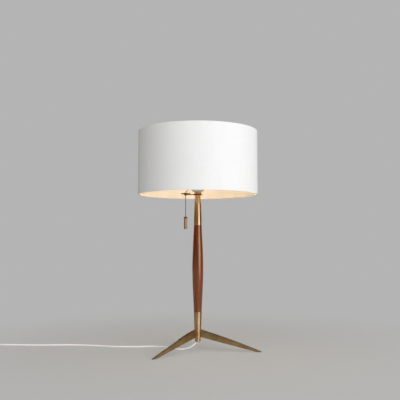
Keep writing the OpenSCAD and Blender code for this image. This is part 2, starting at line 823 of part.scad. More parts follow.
module switch_body() {
    wheel_slot = 10;
    pocket = [10, 9, 11];
    color(PHENOLIC)
        difference() {
            union() {
                pipe_hole(body_z, body_top_z, body_r);
                pipe(body_top_z - eps, body_top_z + cup_h, body_r, thread_r + thread_t + thin_gap);
            }
            translate([-wheel_x, 0, wheel_z])
                rotate([90, 0, 0])
                    cylinder(h = wheel_slot, r = wheel_pitch_r + bead_r + 0.6, center = true);
            along_chain()
                translate([0, 0, outlet_in - 8])
                    cylinder(h = chain_run - outlet_in + 8, r = outlet_r + round_gap);
            rod([-wheel_x, -10, wheel_z], [-wheel_x, 10, wheel_z], axle_r + thin_gap);
            for (side = [-1, 1]) {
                translate([-pocket[0] / 2, side * 16 - pocket[1] / 2, body_z - 1])
                    cube(pocket);
                rod([0, side * 6, terminal_z], [0, side * 14, terminal_z], screw_shank_r + flat_gap);
            }
        }
}

module terminal_screws() {
    head_y = 14.8;
    face_y = 16.6;
    color(BRASS)
        for (side = [-1, 1])
            difference() {
                union() {
                    rod([0, side * 7, terminal_z], [0, side * (head_y + 0.2), terminal_z], screw_shank_r);
                    rod([0, side * head_y, terminal_z], [0, side * face_y, terminal_z], terminal_r);
                }
                translate([-terminal_r - 1, side * (face_y + 0.1) - 0.5, terminal_z - drive_slot / 2])
                    cube([2 * terminal_r + 2, 1, drive_slot]);
            }
}

module centre_contact() {
    color(BRASS)
        translate([0, 0, body_top_z])
            rotate_extrude()
                polygon([[0, 0], [5, 0], [5, 0.6], [3, 1.1], [1.6, 1.5], [0, 1.5]]);
}

module screw_shell() {
    color(BRASS)
        pipe(body_top_z, body_top_z + thread_h, thread_r + thread_t, thread_r);
}

module outlet_hole(grow) {
    along_chain()
        translate([0, 0, outlet_out])
            cylinder(h = outlet_in - outlet_out + 4, r = outlet_r + grow);
}

module paper_insulator() {
    r = shell_r - sheet_t - thin_gap;
    color(CREAM)
        difference() {
            pipe(shell_z + 1, shell_top_z - 2, r, r - paper_t);
            outlet_hole(thin_gap);
        }
}

module socket_shell() {
    color(BRASS)
        difference() {
            union() {
                pipe(shell_z, shell_top_z, shell_r, shell_r - sheet_t);
                translate([0, 0, shell_top_z - 0.8])
                    rotate_extrude()
                        translate([shell_r - 0.1, 0])
                            circle(r = 0.7, $fn = 24);
            }
            outlet_hole(thin_gap);
        }
}

module chain_outlet() {
    mouth = 3;
    tube_l = outlet_in - outlet_out;
    bore_r = bead_r + round_gap;
    color(BRASS)
        along_chain()
            translate([0, 0, outlet_out])
                rotate_extrude()
                    polygon([[outlet_mouth_r - 0.7, 0], [outlet_mouth_r, 0],
                        [outlet_mouth_r - 0.4, mouth / 2], [outlet_r, mouth], [outlet_r, tube_l],
                        [bore_r, tube_l], [bore_r, mouth], [outlet_mouth_r - 1.2, mouth / 2]]);
}

module chain_wheel() {
    groove_r = wheel_pitch_r - bead_r - round_gap;
    groove_w = 2 * (bead_r + 0.4);
    color(PHENOLIC)
        translate([-wheel_x, 0, wheel_z])
            rotate([90, 0, 0])
                difference() {
                    union() {
                        cylinder(h = groove_w + 1, r = groove_r, center = true);
                        for (side = [-1, 1])
                            translate([0, 0, side * (groove_w / 2 + 0.5)])
                                cylinder(h = 1, r = wheel_flange_r, center = true);
                    }
                    cylinder(h = 20, r = axle_r + axle_play, center = true);
                }
}

module wheel_axle() {
    color(STEEL)
        rod([-wheel_x, -9, wheel_z], [-wheel_x, 9, wheel_z], axle_r);
}

module return_spring() {
    from_y = bead_r + 0.4 + 1 + round_gap;
    color(STEEL)
        translate([-wheel_x, from_y, wheel_z])
            rotate([-90, 0, 0])
                difference() {
                    cylinder(h = 1.5, r = axle_r + 1.5);
                    translate([0, 0, -1])
                        cylinder(h = 4, r = axle_r + flat_gap);
                }
}

// Harp

// Points of an arc in the plane of the harp, as [Y, Z], from one angle to another
function arc(mid, r, from, to, steps) = [for (i = [0:steps])
    let(turn = from + (to - from) * i / steps) mid + r * [cos(turn), sin(turn)]];

bow_step = (low_bend + top_bend) / 16;
harp_half = concat([[wing_y, harp_foot_z], [wing_y, harp_foot_z + harp_leg / 2]],
    arc(harp_a + [harp_low_r, 0], harp_low_r, 180, 180 - low_bend, 5),
    arc(harp_bow_mid, harp_bow_r, -low_bend + bow_step, top_bend - bow_step, 14),
    arc(harp_top_mid, harp_top_r, top_bend, 90, 5));

module harp_saddle() {
    out_y = wing_y + saddle_t / 2;
    mid = [out_y - wing_bend, saddle_z + wing_bend];
    color(DARK_BRASS)
        difference() {
            union() {
                translate([-saddle_w / 2, -mid[0], saddle_z])
                    cube([saddle_w, 2 * mid[0], saddle_t]);
                for (side = [0, 1])
                    mirror([0, side, 0]) {
                        translate([0, mid[0], mid[1]])
                            rotate([90, 0, 90])
                                rotate([0, 0, -90])
                                    rotate_extrude(angle = 90)
                                        translate([wing_bend - saddle_t, -saddle_w / 2])
                                            square([saddle_t, saddle_w]);
                        translate([-saddle_w / 2, out_y - saddle_t, mid[1]])
                            cube([saddle_w, saddle_t, wing_h]);
                        translate([0, wing_y, 0])
                            pipe_hole(wing_top_z - 0.5, harp_foot_z, wire_r);
                    }
            }
            pipe_hole(saddle_z - 1, saddle_z + saddle_t + 1, pipe_hole_r);
            for (side = [-1, 1])
                translate([0, side * wing_y, 0])
                    difference() {
                        translate([-saddle_w, -saddle_t, wing_top_z])
                            cube([2 * saddle_w, 2 * saddle_t, 1]);
                        pipe_hole(wing_top_z - 1, wing_top_z + 2, wire_r);
                    }
        }
}

module harp_sleeve(side) {
    color(BRASS)
        translate([0, side * wing_y, 0])
            pipe(wing_top_z + flat_gap, wing_top_z + flat_gap + sleeve_h, sleeve_r, wire_r + sleeve_play);
}

module harp_sleeve_front() {
    harp_sleeve(-1);
}

module harp_sleeve_back() {
    harp_sleeve(1);
}

module harp() {
    half = [for (p = harp_half) [0, p[0], p[1]]];
    other = [for (p = reversed(half)) [0, -p[1], p[2]]];
    line = concat(half, other);
    color(DARK_BRASS)
        tube(line, even(line, wire_r), 10, [1, 0, 0]);
}

module harp_stud() {
    color(BRASS)
        difference() {
            union() {
                pipe_hole(harp_top_z - 1, seat_z, seat_r);
                pipe_hole(seat_z - 1, seat_z + stud_h, stud_r);
            }
            rod([0, -seat_r - 1, harp_top_z], [0, seat_r + 1, harp_top_z], wire_r + thin_gap);
        }
}

// Bulb

module bulb_contact() {
    color(PHENOLIC)
        translate([0, 0, bulb_z])
            rotate_extrude()
                polygon([[0, 0], [3.5, 0], [4.4, 0.8], [9.5, 4], [0, 4]]);
}

module bulb_base() {
    ridges = 5;
    low = 3;
    root_r = base_r - 0.7;
    rim_r = base_r - 0.2;
    step = (base_h - low - 4) / ridges;
    thread = [for (i = [0:ridges - 1])
        each [[root_r, low + i * step], [base_r, low + (i + 0.3) * step], [base_r, low + (i + 0.6) * step]]];
    color(STEEL)
        translate([0, 0, base_foot_z])
            rotate_extrude()
                polygon(concat([[0, 0], [9.5, 0], [root_r, 2]], thread,
                    [[root_r, base_h - 3], [rim_r, base_h - 2], [rim_r, base_h], [0, base_h]]));
}

// The glass: a short bend from the neck to the globe, then the globe's arc
function glass_side(inset) =
    let(r = globe_r - inset, low = -35, end = [r * cos(low), globe_h + r * sin(low)],
        a = [bulb_neck_r - inset, 0], b = a + [0, 15], c = end - 14 * [-sin(low), cos(low)])
    concat(
        [for (i = [0:7]) let(t = i / 8, s = 1 - t)
            s * s * s * a + 3 * s * s * t * b + 3 * s * t * t * c + t * t * t * end],
        [for (i = [0:12]) let(turn = low + (90 - low) * i / 12)
            [i == 12 ? 0 : r * cos(turn), globe_h + r * sin(turn)]]);

module bulb_glass() {
    color(WHITE)
        translate([0, 0, glass_z])
            rotate_extrude()
                polygon(concat(glass_side(0), reversed(glass_side(glass_t))));
}

// Shade

module shade_fabric() {
    color(WHITE)
        pipe(shade_foot_z + hem_t + thin_gap, shade_top_z - hem_t - thin_gap, shade_r, shade_r - fabric_t);
}

module shade_liner() {
    color(CREAM)
        pipe(shade_foot_z + hem_t + thin_gap, shade_top_z - hem_t - thin_gap, liner_r, liner_r - liner_t);
}

module hoop(z) {
    color(STEEL)
        translate([0, 0, z])
            rotate_extrude()
                translate([hoop_r, 0])
                    circle(r = hoop_wire_r, $fn = 24);
}

module top_hoop() {
    hoop(hoop_top_z);
}

module bottom_hoop() {
    hoop(hoop_foot_z);
}

module arm_rods(r) {
    for (turn = arm_turns)
        rotate([0, 0, turn])
            rod([arm_in, 0, arm_start_z], [arm_out, 0, hoop_top_z], r);
}

module spider() {
    color(STEEL)
        difference() {
            union() {
                pipe_hole(spider_z, spider_z + spider_t, spider_r);
                arm_rods(spider_wire_r);
            }
            pipe_hole(spider_z - 1, spider_z + spider_t + 1, stud_r + spider_play);
            pipe_hole(spider_z - 5, spider_z, spider_r + 4);
        }
}

// A hem tape: a lip over the drum's edge and a band behind the ring wire
module hem() {
    rotate_extrude()
        polygon([[hem_in_r, 0], [shade_r, 0], [shade_r, hem_t], [hem_in_r + hem_t, hem_t],
            [hem_in_r + hem_t, hem_h], [hem_in_r, hem_h]]);
}

module top_hem() {
    color(WHITE)
        difference() {
            translate([0, 0, shade_top_z])
                mirror([0, 0, 1])
                    hem();
            arm_rods(spider_wire_r + thin_gap);
        }
}

module bottom_hem() {
    color(WHITE)
        translate([0, 0, shade_foot_z])
            hem();
}

module finial() {
    ball_z = finial_stem_h + finial_r * 0.85;
    ball = [for (a = [-60:15:75]) [finial_r * cos(a), ball_z + finial_r * sin(a)]];
    color(BRASS)
        translate([0, 0, finial_z])
            difference() {
                rotate_extrude()
                    polygon(concat([[0, 0], [finial_foot_r, 0], [finial_foot_r, 1.4],
                        [finial_foot_r - 1, 2.4], [4.6, 3.4], [4.3, finial_stem_h - 1]], ball,
                        [[0, ball_z + finial_r]]));
                pipe_hole(-1, seat_z + stud_h + 1 - finial_z, stud_r + spider_play);
            }
}

// Cord, coil and plug

module cord() {
    color(WHITE)
        tube(cord_line, even(cord_line, cord_d / 2), 8, [0, 0, 1]);
}

module cord_coil() {
    color(WHITE)
        tube(coil_line, even(coil_line, cord_d / 2), 6, [0, 0, 1]);
}

// A flat band round the coil's bundle, on the side away from the climb
module cord_tie() {
    side = 45 / 360 * coil_pitch;
    low_r = coil_out_r - side - 2 * coil_pitch - cord_d / 2 - round_gap;
    high_r = coil_out_r - side + cord_d / 2 + round_gap;
    low_z = coil_z - cord_d / 2 - thin_gap;
    high_z = coil_z + coil_layer + cord_d / 2 + round_gap;
    color(PHENOLIC)
        translate([coil_at[0], coil_at[1], 0])
            rotate([0, 0, 135])
                rotate([90, 0, 0])
                    linear_extrude(tie_w, center = true)
                        difference() {
                            translate([low_r - tie_t, low_z - tie_t])
                                square([high_r - low_r + 2 * tie_t, high_z - low_z + 2 * tie_t]);
                            translate([low_r, low_z])
                                square([high_r - low_r, high_z - low_z]);
                        }
}

module cord_tail() {
    color(WHITE)
        tube(tail_line, even(tail_line, cord_d / 2), 8, [0, 0, 1]);
}

module plug_relief() {
    rings = 6;
    line = [for (i = [0:rings]) [tail_end[0], tail_end[1] - plug_relief_l * i / rings, plug_z]];
    color(WHITE)
        tube(line, [for (i = [0:rings]) cord_d / 2 + 0.4 + 2 * i / rings], 12, [0, 0, 1]);
}

module plug_body() {
    corner = 3;
    y = tail_end[1] - plug_relief_l;
    color(WHITE)
        translate([tail_end[0], y, plug_z])
            rotate([90, 0, 0])
                linear_extrude(plug_l) {
                    square([plug_w - 2 * corner, plug_t], center = true);
                    square([plug_w, plug_t - 2 * corner], center = true);
                    for (x = [-1, 1], z = [-1, 1])
                        translate([x * (plug_w / 2 - corner), z * (plug_t / 2 - corner)])
                            circle(r = corner);
                }
}

module plug_blades() {
    blade = [1.5, 16, 6.35];
    apart = 12.7;
    hole_r = 1.6;
    tip_y = tail_end[1] - plug_relief_l - plug_l - blade[1];
    color(BRASS)
        for (side = [-1, 1])
            translate([tail_end[0] + side * apart / 2, tip_y, plug_z])
                difference() {
                    translate([-blade[0] / 2, 0, -blade[2] / 2])
                        cube(blade);
                    rod([-2, 4, 0], [2, 4, 0], hole_r);
                }
}

leg_left();
leg_right();
leg_back();
leg_glides();
lower_ferrule();
toothed_washer();
round_nut();
threaded_pipe();
cord_relief();
inner_cord();
walnut_spindle();
brass_neck();
guide_arm();
guide_disc();
guide_eyelet();
upper_chain();
lower_chain();
pull_cap();
pull_body();
check_ring();
harp_saddle();
socket_cap();
cap_bushing();
set_screw();
lead_front();
lead_back();
switch_body();
terminal_screws();
centre_contact();
screw_shell();
paper_insulator();
socket_shell();
chain_outlet();
chain_wheel();
wheel_axle();
return_spring();
harp_sleeve_front();
harp_sleeve_back();
harp();
harp_stud();
bulb_contact();
bulb_base();
bulb_glass();
shade_fabric();
shade_liner();
top_hoop();
bottom_hoop();
spider();
top_hem();
bottom_hem();
finial();
cord();
cord_coil();
cord_tie();
cord_tail();
plug_relief();
plug_body();
plug_blades();
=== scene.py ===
import math

import bmesh
import bpy
from mathutils import Matrix, Vector


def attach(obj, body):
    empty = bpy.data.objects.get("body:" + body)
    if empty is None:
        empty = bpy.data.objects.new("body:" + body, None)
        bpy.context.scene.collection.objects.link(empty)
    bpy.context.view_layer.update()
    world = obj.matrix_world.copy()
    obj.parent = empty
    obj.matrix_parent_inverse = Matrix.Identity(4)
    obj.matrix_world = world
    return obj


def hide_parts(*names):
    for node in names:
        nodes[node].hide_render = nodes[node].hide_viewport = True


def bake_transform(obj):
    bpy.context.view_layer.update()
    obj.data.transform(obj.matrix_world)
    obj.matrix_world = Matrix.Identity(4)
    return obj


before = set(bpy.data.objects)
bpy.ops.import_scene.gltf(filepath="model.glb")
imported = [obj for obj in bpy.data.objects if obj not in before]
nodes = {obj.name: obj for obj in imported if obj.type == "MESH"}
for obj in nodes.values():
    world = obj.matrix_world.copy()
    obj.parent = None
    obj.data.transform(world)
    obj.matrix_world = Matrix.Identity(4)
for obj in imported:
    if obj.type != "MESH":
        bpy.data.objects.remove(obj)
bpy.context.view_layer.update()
scene = bpy.context.scene
print("lamp: frame loaded,", len(nodes), "nodes")

# lengths are in millimetres unless a note says otherwise; pieces are made in mm and scaled at the end
mm = 0.001

# camera in metres, at the height and distance that the shade's two rims give
view = {"place": (0.0070, -1.8886, 0.3405), "pitch": 4.01, "lens": 53.31, "sensor": 36.0}
cameraData = bpy.data.cameras.new("camera")
cameraData.lens = view["lens"]
cameraData.sensor_width = view["sensor"]
camera = bpy.data.objects.new("camera", cameraData)
camera.location = view["place"]
camera.rotation_euler = (math.radians(90 + view["pitch"]), 0, 0)
scene.collection.objects.link(camera)
scene.camera = camera


# small helpers for shaders
def feed(finish, socket, value):
    if isinstance(value, bpy.types.NodeSocket):
        finish.node_tree.links.new(value, socket)
    else:
        socket.default_value = value


def addNode(finish, kind, inputs=None, **settings):
    made = finish.node_tree.nodes.new("ShaderNode" + kind)
    for key, value in settings.items():
        setattr(made, key, value)
    for key, value in (inputs or {}).items():
        feed(finish, made.inputs[key], value)
    return made


def newMaterial(name, sockets):
    finish = bpy.data.materials.new(name)
    finish.use_nodes = True
    shader = finish.node_tree.nodes["Principled BSDF"]
    for key, value in sockets.items():
        shader.inputs[key].default_value = (*value, 1.0) if isinstance(value, tuple) else value
    return finish, shader


def placeOn(finish, source="Object", scale=(1, 1, 1)):
    spot = addNode(finish, "TexCoord").outputs[source]
    return addNode(finish, "Mapping", {"Vector": spot, "Scale": scale}).outputs["Vector"]


# scale: one number, or three where the pattern is stretched
def noise(finish, scale, detail=2.0, rough=0.55, source="Object"):
    size, stretch = (1.0, scale) if isinstance(scale, tuple) else (scale, (1, 1, 1))
    return addNode(finish, "TexNoise", {"Vector": placeOn(finish, source, stretch), "Scale": size,
                                        "Detail": detail, "Roughness": rough}).outputs["Fac"]


# stops: (place from 0 to 1, colour)
def blendColours(finish, factor, stops):
    ramp = addNode(finish, "ValToRGB", {"Fac": factor})
    band = ramp.color_ramp
    while len(band.elements) < len(stops):
        band.elements.new(0.5)
    for element, (place, colour) in zip(band.elements, stops):
        element.position = place
        element.color = (*colour, 1.0)
    return ramp.outputs["Color"]


def remap(finish, value, low, high, fromLow=0.0, fromHigh=1.0):
    return addNode(finish, "MapRange", {"Value": value, "From Min": fromLow, "From Max": fromHigh,
                                        "To Min": low, "To Max": high}).outputs["Result"]


def bump(finish, shader, height, strength, distance):
    feed(finish, shader.inputs["Normal"],
         addNode(finish, "Bump", {"Height": height, "Strength": strength,
                                  "Distance": distance}).outputs["Normal"])


def combine(finish, first, second, operation="ADD"):
    return addNode(finish, "Math", {0: first, 1: second}, operation=operation).outputs["Value"]


def times(finish, first, second):
    return combine(finish, first, second, "MULTIPLY")


def tinted(finish, amount, colour, tint):
    made = addNode(finish, "Mix", data_type="RGBA", blend_type="MULTIPLY")
    for place, value in ((0, amount), (6, colour), (7, tint)):
        feed(finish, made.inputs[place], value)
    return made.outputs[2]


def vectorMath(finish, operation, inputs, output="Vector"):
    return addNode(finish, "VectorMath", inputs, operation=operation).outputs[output]


def blendShaders(finish, factor, first, second):
    return addNode(finish, "MixShader", {0: factor, 1: first, 2: second}).outputs[0]


# finishes; lines says whether the brush ran along the piece or round it
def brassFinish(name, bright, dull, rough, lines="round", brush=0.000012, lacquer=0.3, clear=1.5,
                metallic=1.0, stretch=0.85):
    finish, shader = newMaterial(name, {"Metallic": metallic, "Coat Weight": lacquer, "Coat IOR": clear,
                                        "Coat Roughness": 0.16, "Specular Tint": (0.72, 0.60, 0.48),
                                        "Anisotropic": stretch if lines == "round" else 0.0,
                                        "Anisotropic Rotation": 0.25})
    source, scale = ("UV", (30, 2600, 1)) if lines == "length" else ("Object", (24, 24, 2600))
    brushed = noise(finish, scale, rough=0.6, source=source)
    cloud = noise(finish, 26.0, detail=4.0, rough=0.6)
    spots = noise(finish, 160.0, rough=0.5)
    tone = combine(finish, times(finish, cloud, 0.75), times(finish, spots, 0.25))
    feed(finish, shader.inputs["Base Color"], blendColours(finish, tone, [(0.36, dull), (0.6, bright)]))
    gloss = combine(finish, remap(finish, brushed, -0.04, 0.05, 0.3, 0.7),
                    remap(finish, cloud, rough + 0.03, rough - 0.03, 0.35, 0.65))
    feed(finish, shader.inputs["Roughness"], gloss)
    bump(finish, shader, brushed, 0.2, brush)
    return finish


legBrass = brassFinish("antiqueBrassBlade", (0.45, 0.29, 0.135), (0.27, 0.17, 0.077), rough=0.38,
                       lines="length", brush=0.00003, lacquer=0.1)
ferruleBrass = brassFinish("antiqueBrassFerrule", (0.97, 0.68, 0.36), (0.76, 0.49, 0.23), rough=0.46,
                           stretch=1.0)
stemBrass = brassFinish("satinBrass", (0.52, 0.275, 0.052), (0.46, 0.235, 0.042), rough=0.33, lacquer=1.0,
                        clear=2.1)
pullBrass = brassFinish("tannedBrass", (0.48, 0.33, 0.20), (0.41, 0.275, 0.16), rough=0.46, stretch=0.3)
# pale brass for the socket cap and harp saddle: brass made near-white as a painted reflection of the lit
# lining above it, which also hides the saddle's shaded strip
capBrassPaintedReflection = brassFinish("paleBrassPaintedReflection", (0.97, 0.86, 0.69), (0.88, 0.77, 0.59), rough=0.5, lacquer=0.1,
                       metallic=0.15, stretch=0.0)
plainBrass = brassFinish("drawnBrass", (0.78, 0.60, 0.32), (0.66, 0.48, 0.24), rough=0.24)


def darkened(colour, share):
    return tuple(share * part for part in colour)


def steelFinish(name, colour, rough):
    finish, shader = newMaterial(name, {"Metallic": 1.0})
    grain = noise(finish, (400, 400, 1600))
    cloud = noise(finish, 70.0, detail=3.0)
    clouded = blendColours(finish, cloud, [(0.35, darkened(colour, 0.78)), (0.62, colour)])
    feed(finish, shader.inputs["Base Color"], clouded)
    feed(finish, shader.inputs["Roughness"], remap(finish, grain, rough - 0.06, rough + 0.09, 0.3, 0.7))
    bump(finish, shader, grain, 0.2, 0.00003)
    return finish


zincSteel = steelFinish("zincSteel", (0.60, 0.59, 0.55), 0.36)
beadNickel = steelFinish("beadNickel", (0.20, 0.19, 0.18), 0.36)
capAluminium = steelFinish("capAluminium", (0.76, 0.76, 0.75), 0.33)


# yearly rings round a centre beside the stem, with streaks and pores along it
def walnutFinish():
    finish, shader = newMaterial("oiledWalnut", {"Specular Tint": (1.0, 0.58, 0.38), "IOR": 1.66,
                                                 "Specular IOR Level": 1.0})
    wander = noise(finish, (9, 9, 2.2), detail=3.0, rough=0.6)
    shift = vectorMath(finish, "MULTIPLY", {0: wander, 1: (0.014, 0.010, 0.0)})
    bent = vectorMath(finish, "ADD", {0: placeOn(finish), 1: shift})
    offAxis = addNode(finish, "Mapping", {"Vector": bent, "Location": (0.034, 0.021, 0),
                                          "Rotation": (0.035, -0.05, 0)}).outputs["Vector"]
    rings = addNode(finish, "TexWave", {"Vector": offAxis, "Scale": 62.0, "Distortion": 3.2,
                                        "Detail": 3.0, "Detail Scale": 9.0, "Detail Roughness": 0.6},
                    wave_type="RINGS", rings_direction="Z", wave_profile="SIN").outputs["Fac"]
    streak = noise(finish, (230, 230, 7), detail=4.0, rough=0.65)
    broad = noise(finish, (38, 38, 4.5))
    pores = noise(finish, (1500, 1500, 42), detail=1.0)
    figure = combine(finish, times(finish, rings, 0.34), times(finish, streak, 0.66))
    wood = blendColours(finish, figure, [(0.27, (0.047, 0.0075, 0.0008)), (0.45, (0.140, 0.022, 0.0014)),
                                         (0.60, (0.215, 0.039, 0.003)), (0.78, (0.37, 0.092, 0.012))])
    patches = blendColours(finish, broad, [(0.3, (0.70, 0.66, 0.62)), (0.7, (1.12, 1.10, 1.06))])
    pits = blendColours(finish, pores, [(0.30, (0.45, 0.40, 0.38)), (0.40, (1.0, 1.0, 1.0))])
    patched = tinted(finish, 1.0, wood, patches)
    feed(finish, shader.inputs["Base Color"], tinted(finish, 0.8, patched, pits))
    feed(finish, shader.inputs["Roughness"], remap(finish, streak, 0.20, 0.28, 0.3, 0.7))
    bump(finish, shader, combine(finish, pores, streak), 0.22, 0.00006)
    return finish


walnut = walnutFinish()


def plasticFinish(name, colour, rough, grain=900.0, depth=0.00002, extra=None):
    finish, shader = newMaterial(name, {"Specular IOR Level": 0.5, **(extra or {})})
    fine = noise(finish, grain)
    cloud = noise(finish, 30.0)
    clouded = blendColours(finish, cloud, [(0.3, darkened(colour, 0.94)), (0.7, colour)])
    feed(finish, shader.inputs["Base Color"], clouded)
    feed(finish, shader.inputs["Roughness"], remap(finish, fine, rough - 0.05, rough + 0.08, 0.3, 0.7))
    bump(finish, shader, fine, 0.3, depth)
    return finish


cordVinyl = plasticFinish("cordVinyl", (0.90, 0.87, 0.83), 0.42)
# dark brass for the guide arm, the pull's cap, the harp wire and its sleeves: partly a dark brass finish,
# partly painted shade, since these pieces sit under the lampshade
brassWithPaintedShade = plasticFinish("brassWithPaintedShade", (0.21, 0.088, 0.013), 0.5, 700.0, 0.00003,
                          {"Metallic": 0.45, "Specular IOR Level": 0.05})
blackPhenolic = plasticFinish("blackPhenolic", (0.030, 0.024, 0.020), 0.38)
blackVinyl = plasticFinish("blackVinyl", (0.035, 0.033, 0.032), 0.5)
fibrePaper = plasticFinish("fibrePaper", (0.52, 0.40, 0.25), 0.8, 1600.0, 0.00004)
clearPad = plasticFinish("clearPad", (0.80, 0.83, 0.83), 0.22, 500.0, 0.00001,
                         {"Transmission Weight": 0.75, "IOR": 1.49})
opalGlass = plasticFinish("opalGlass", (0.90, 0.87, 0.82), 0.24, 300.0, 0.00001,
                          {"Emission Color": (1.0, 0.83, 0.60), "Emission Strength": 0.55})
shadeLining = plasticFinish("shadeLining", (0.94, 0.81, 0.645), 0.5, 220.0, 0.00008)


# pitch: from thread to thread, in metres
def clothFinish(name, colour, pitch, slub, sheen):
    finish, shader = newMaterial(name, {"Roughness": 0.92, "Specular IOR Level": 0.2,
                                        "Sheen Weight": sheen, "Sheen Roughness": 0.5})
    spot = placeOn(finish, "UV")
    drift = noise(finish, (40, 8, 1), source="UV")
    thick = noise(finish, (900, 26, 1), detail=3.0, rough=0.6, source="UV")
    cross = noise(finish, (22, 900, 1), detail=3.0, rough=0.6, source="UV")
    threads = [addNode(finish, "TexWave", {"Vector": spot, "Scale": 0.314 / pitch, "Distortion": 0.9,
                                           "Detail": 1.0, "Detail Scale": 3.0},
                       wave_type="BANDS", bands_direction=way, wave_profile="SIN").outputs["Fac"]
               for way in ("X", "Y")]
    weave = times(finish, threads[0], threads[1])
    slubs = combine(finish, thick, cross, "MAXIMUM")
    tone = combine(finish, times(finish, weave, 0.3), times(finish, slubs, 0.7))
    woven = blendColours(finish, tone, [(0.25, darkened(colour, 0.90)), (0.62, colour)])
    aged = blendColours(finish, drift, [(0.3, (0.985, 0.98, 0.975)), (0.7, (1.0, 1.0, 1.0))])
    feed(finish, shader.inputs["Base Color"], tinted(finish, 1.0, woven, aged))
    bump(finish, shader, combine(finish, weave, times(finish, slubs, slub)), 0.35, 0.00012)
    return finish


shadeLinen = clothFinish("shadeLinen", (0.875, 0.878, 0.872), 0.00085, slub=1.4, sheen=0.05)
hemTape = clothFinish("hemTape", (0.86, 0.858, 0.85), 0.0006, slub=0.8, sheen=0.05)
strapWeb = clothFinish("strapWeb", (0.03, 0.03, 0.032), 0.0007, slub=0.5, sheen=0.2)
print("lamp: finishes made")


# small helpers for numbers: even shares from 0 to 1, the value at a share of the way, a bow's rise there
def shares(count):
    return [i / count for i in range(count + 1)]


def between(start, end, share):
    return start + (end - start) * share


def bowed(rise, share):
    return 4 * rise * share * (1 - share)


def polar(mid, radius, degrees):
    angle = math.radians(degrees)
    return mid[0] + radius * math.cos(angle), mid[1] + radius * math.sin(angle)


def arc(mid, radius, start, end, steps):
    return [polar(mid, radius, between(start, end, share)) for share in shares(steps)]


# small helpers for shapes
weldGap = 1e-4


def shiftBy(bm, place):
    bmesh.ops.translate(bm, vec=place, verts=bm.verts)


def turnBy(bm, degrees, axis):
    turn = Matrix.Rotation(math.radians(degrees), 3, axis)
    bmesh.ops.rotate(bm, cent=(0, 0, 0), matrix=turn, verts=bm.verts)


def edgeRow(bm, points, closed):
    verts = [bm.verts.new(point) for point in points]
    for start, end in zip(verts, verts[1:] + (verts[:1] if closed else [])):
        bm.edges.new((start, end))
    return verts


def roundCorners(bm, verts, size, segments):
    bmesh.ops.bevel(bm, geom=verts, offset=size, offset_type="OFFSET", segments=segments, profile=0.5,
                    affect="VERTICES", material=-1)


def newest(made, kind):
    return [item for item in made["geom"] if isinstance(item, kind)]


# UV in metres round a drum: across is the way round from the front, up is the height
def wrapUv(bm, radius):
    layer = bm.loops.layers.uv.verify()
    for face in bm.faces:
        middle = face.calc_center_median()
        centre = math.atan2(middle.x, -middle.y)
        for loop in face.loops:
            spot = loop.vert.co
            angle = math.atan2(spot.x, -spot.y)
            if angle - centre > math.pi:
                angle -= 2 * math.pi
            elif centre - angle > math.pi:
                angle += 2 * math.pi
            depth = radius - math.hypot(spot.x, spot.y)
            loop[layer].uv = (angle * radius * mm, (spot.z + depth) * mm)


# replaced: the names of the CAD nodes that the piece stands for
def seat(piece, body, replaced):
    scene.collection.objects.link(piece)
    if replaced:
        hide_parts(*replaced.split())
    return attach(piece, body) if body else piece


# edges that bend by more than sharp degrees stay crisp; wrap is the radius of its UV, where it has one
def addPiece(name, bm, finish, body, replaced="", sharp=32, wrap=None):
    bmesh.ops.remove_doubles(bm, verts=bm.verts, dist=weldGap)
    bmesh.ops.recalc_face_normals(bm, faces=bm.faces)
    for face in bm.faces:
        face.smooth = True
    for edge in bm.edges:
        edge.smooth = len(edge.link_faces) == 2 and edge.calc_face_angle() < math.radians(sharp)
    if wrap is not None:
        wrapUv(bm, wrap)
    bmesh.ops.scale(bm, vec=(mm, mm, mm), verts=bm.verts)
    mesh = bpy.data.meshes.new(name)
    bm.to_mesh(mesh)
    bm.free()
    mesh.materials.append(finish)
    return seat(bpy.data.objects.new(name, mesh), body, replaced)


# profile: (radius, height) points, with a third number where that corner is rounded; unless it ends on the
# axis it runs back to its first point
def turned(profile, steps=96, foot=0.0, spot=(0, 0)):
    bm = bmesh.new()
    verts = edgeRow(bm, [(point[0], 0, point[1] + foot) for point in profile], profile[-1][0] > 0)
    for rounding in sorted({point[2] for point in profile if len(point) > 2}):
        corners = [vert for vert, point in zip(verts, profile) if point[2:] == (rounding,)]
        roundCorners(bm, corners, rounding, 4)
    bmesh.ops.spin(bm, geom=bm.verts[:] + bm.edges[:], cent=(0, 0, 0), axis=(0, 0, 1), dvec=(0, 0, 0),
                   angle=2 * math.pi, steps=steps, use_merge=True)
    bmesh.ops.remove_doubles(bm, verts=bm.verts, dist=weldGap)
    shiftBy(bm, (*spot, 0))
    return bm


# a smooth line through all the points, with so many steps from each to the next
def smoothLine(way, steps):
    line = []
    for i in range(len(way) - 1):
        start, end = Vector(way[i]), Vector(way[i + 1])
        before = Vector(way[i - 1]) if i else 2 * start - end
        after = Vector(way[i + 2]) if i + 2 < len(way) else 2 * end - start
        for share in shares(steps)[:-1]:
            line.append(0.5 * (2 * start + (end - before) * share
                               + (2 * before - 5 * start + 4 * end - after) * share ** 2
                               + (3 * start - before - 3 * end + after) * share ** 3))
    return line + [Vector(way[-1])]


def wire(name, points, radius, finish, body, replaced="", radii=None, steps=4, sides=6):
    curve = bpy.data.curves.new(name, "CURVE")
    curve.dimensions = "3D"
    curve.bevel_depth = radius * mm
    curve.bevel_resolution = sides
    curve.use_fill_caps = True
    curve.resolution_u = steps
    curve.materials.append(finish)
    spline = curve.splines.new("BEZIER")
    spline.bezier_points.add(len(points) - 1)
    for i, (knot, point) in enumerate(zip(spline.bezier_points, points)):
        knot.co = Vector(point) * mm
        knot.handle_left_type = knot.handle_right_type = "AUTO"
        knot.radius = radii[i] if radii else 1.0
    return seat(bpy.data.objects.new(name, curve), body, replaced)


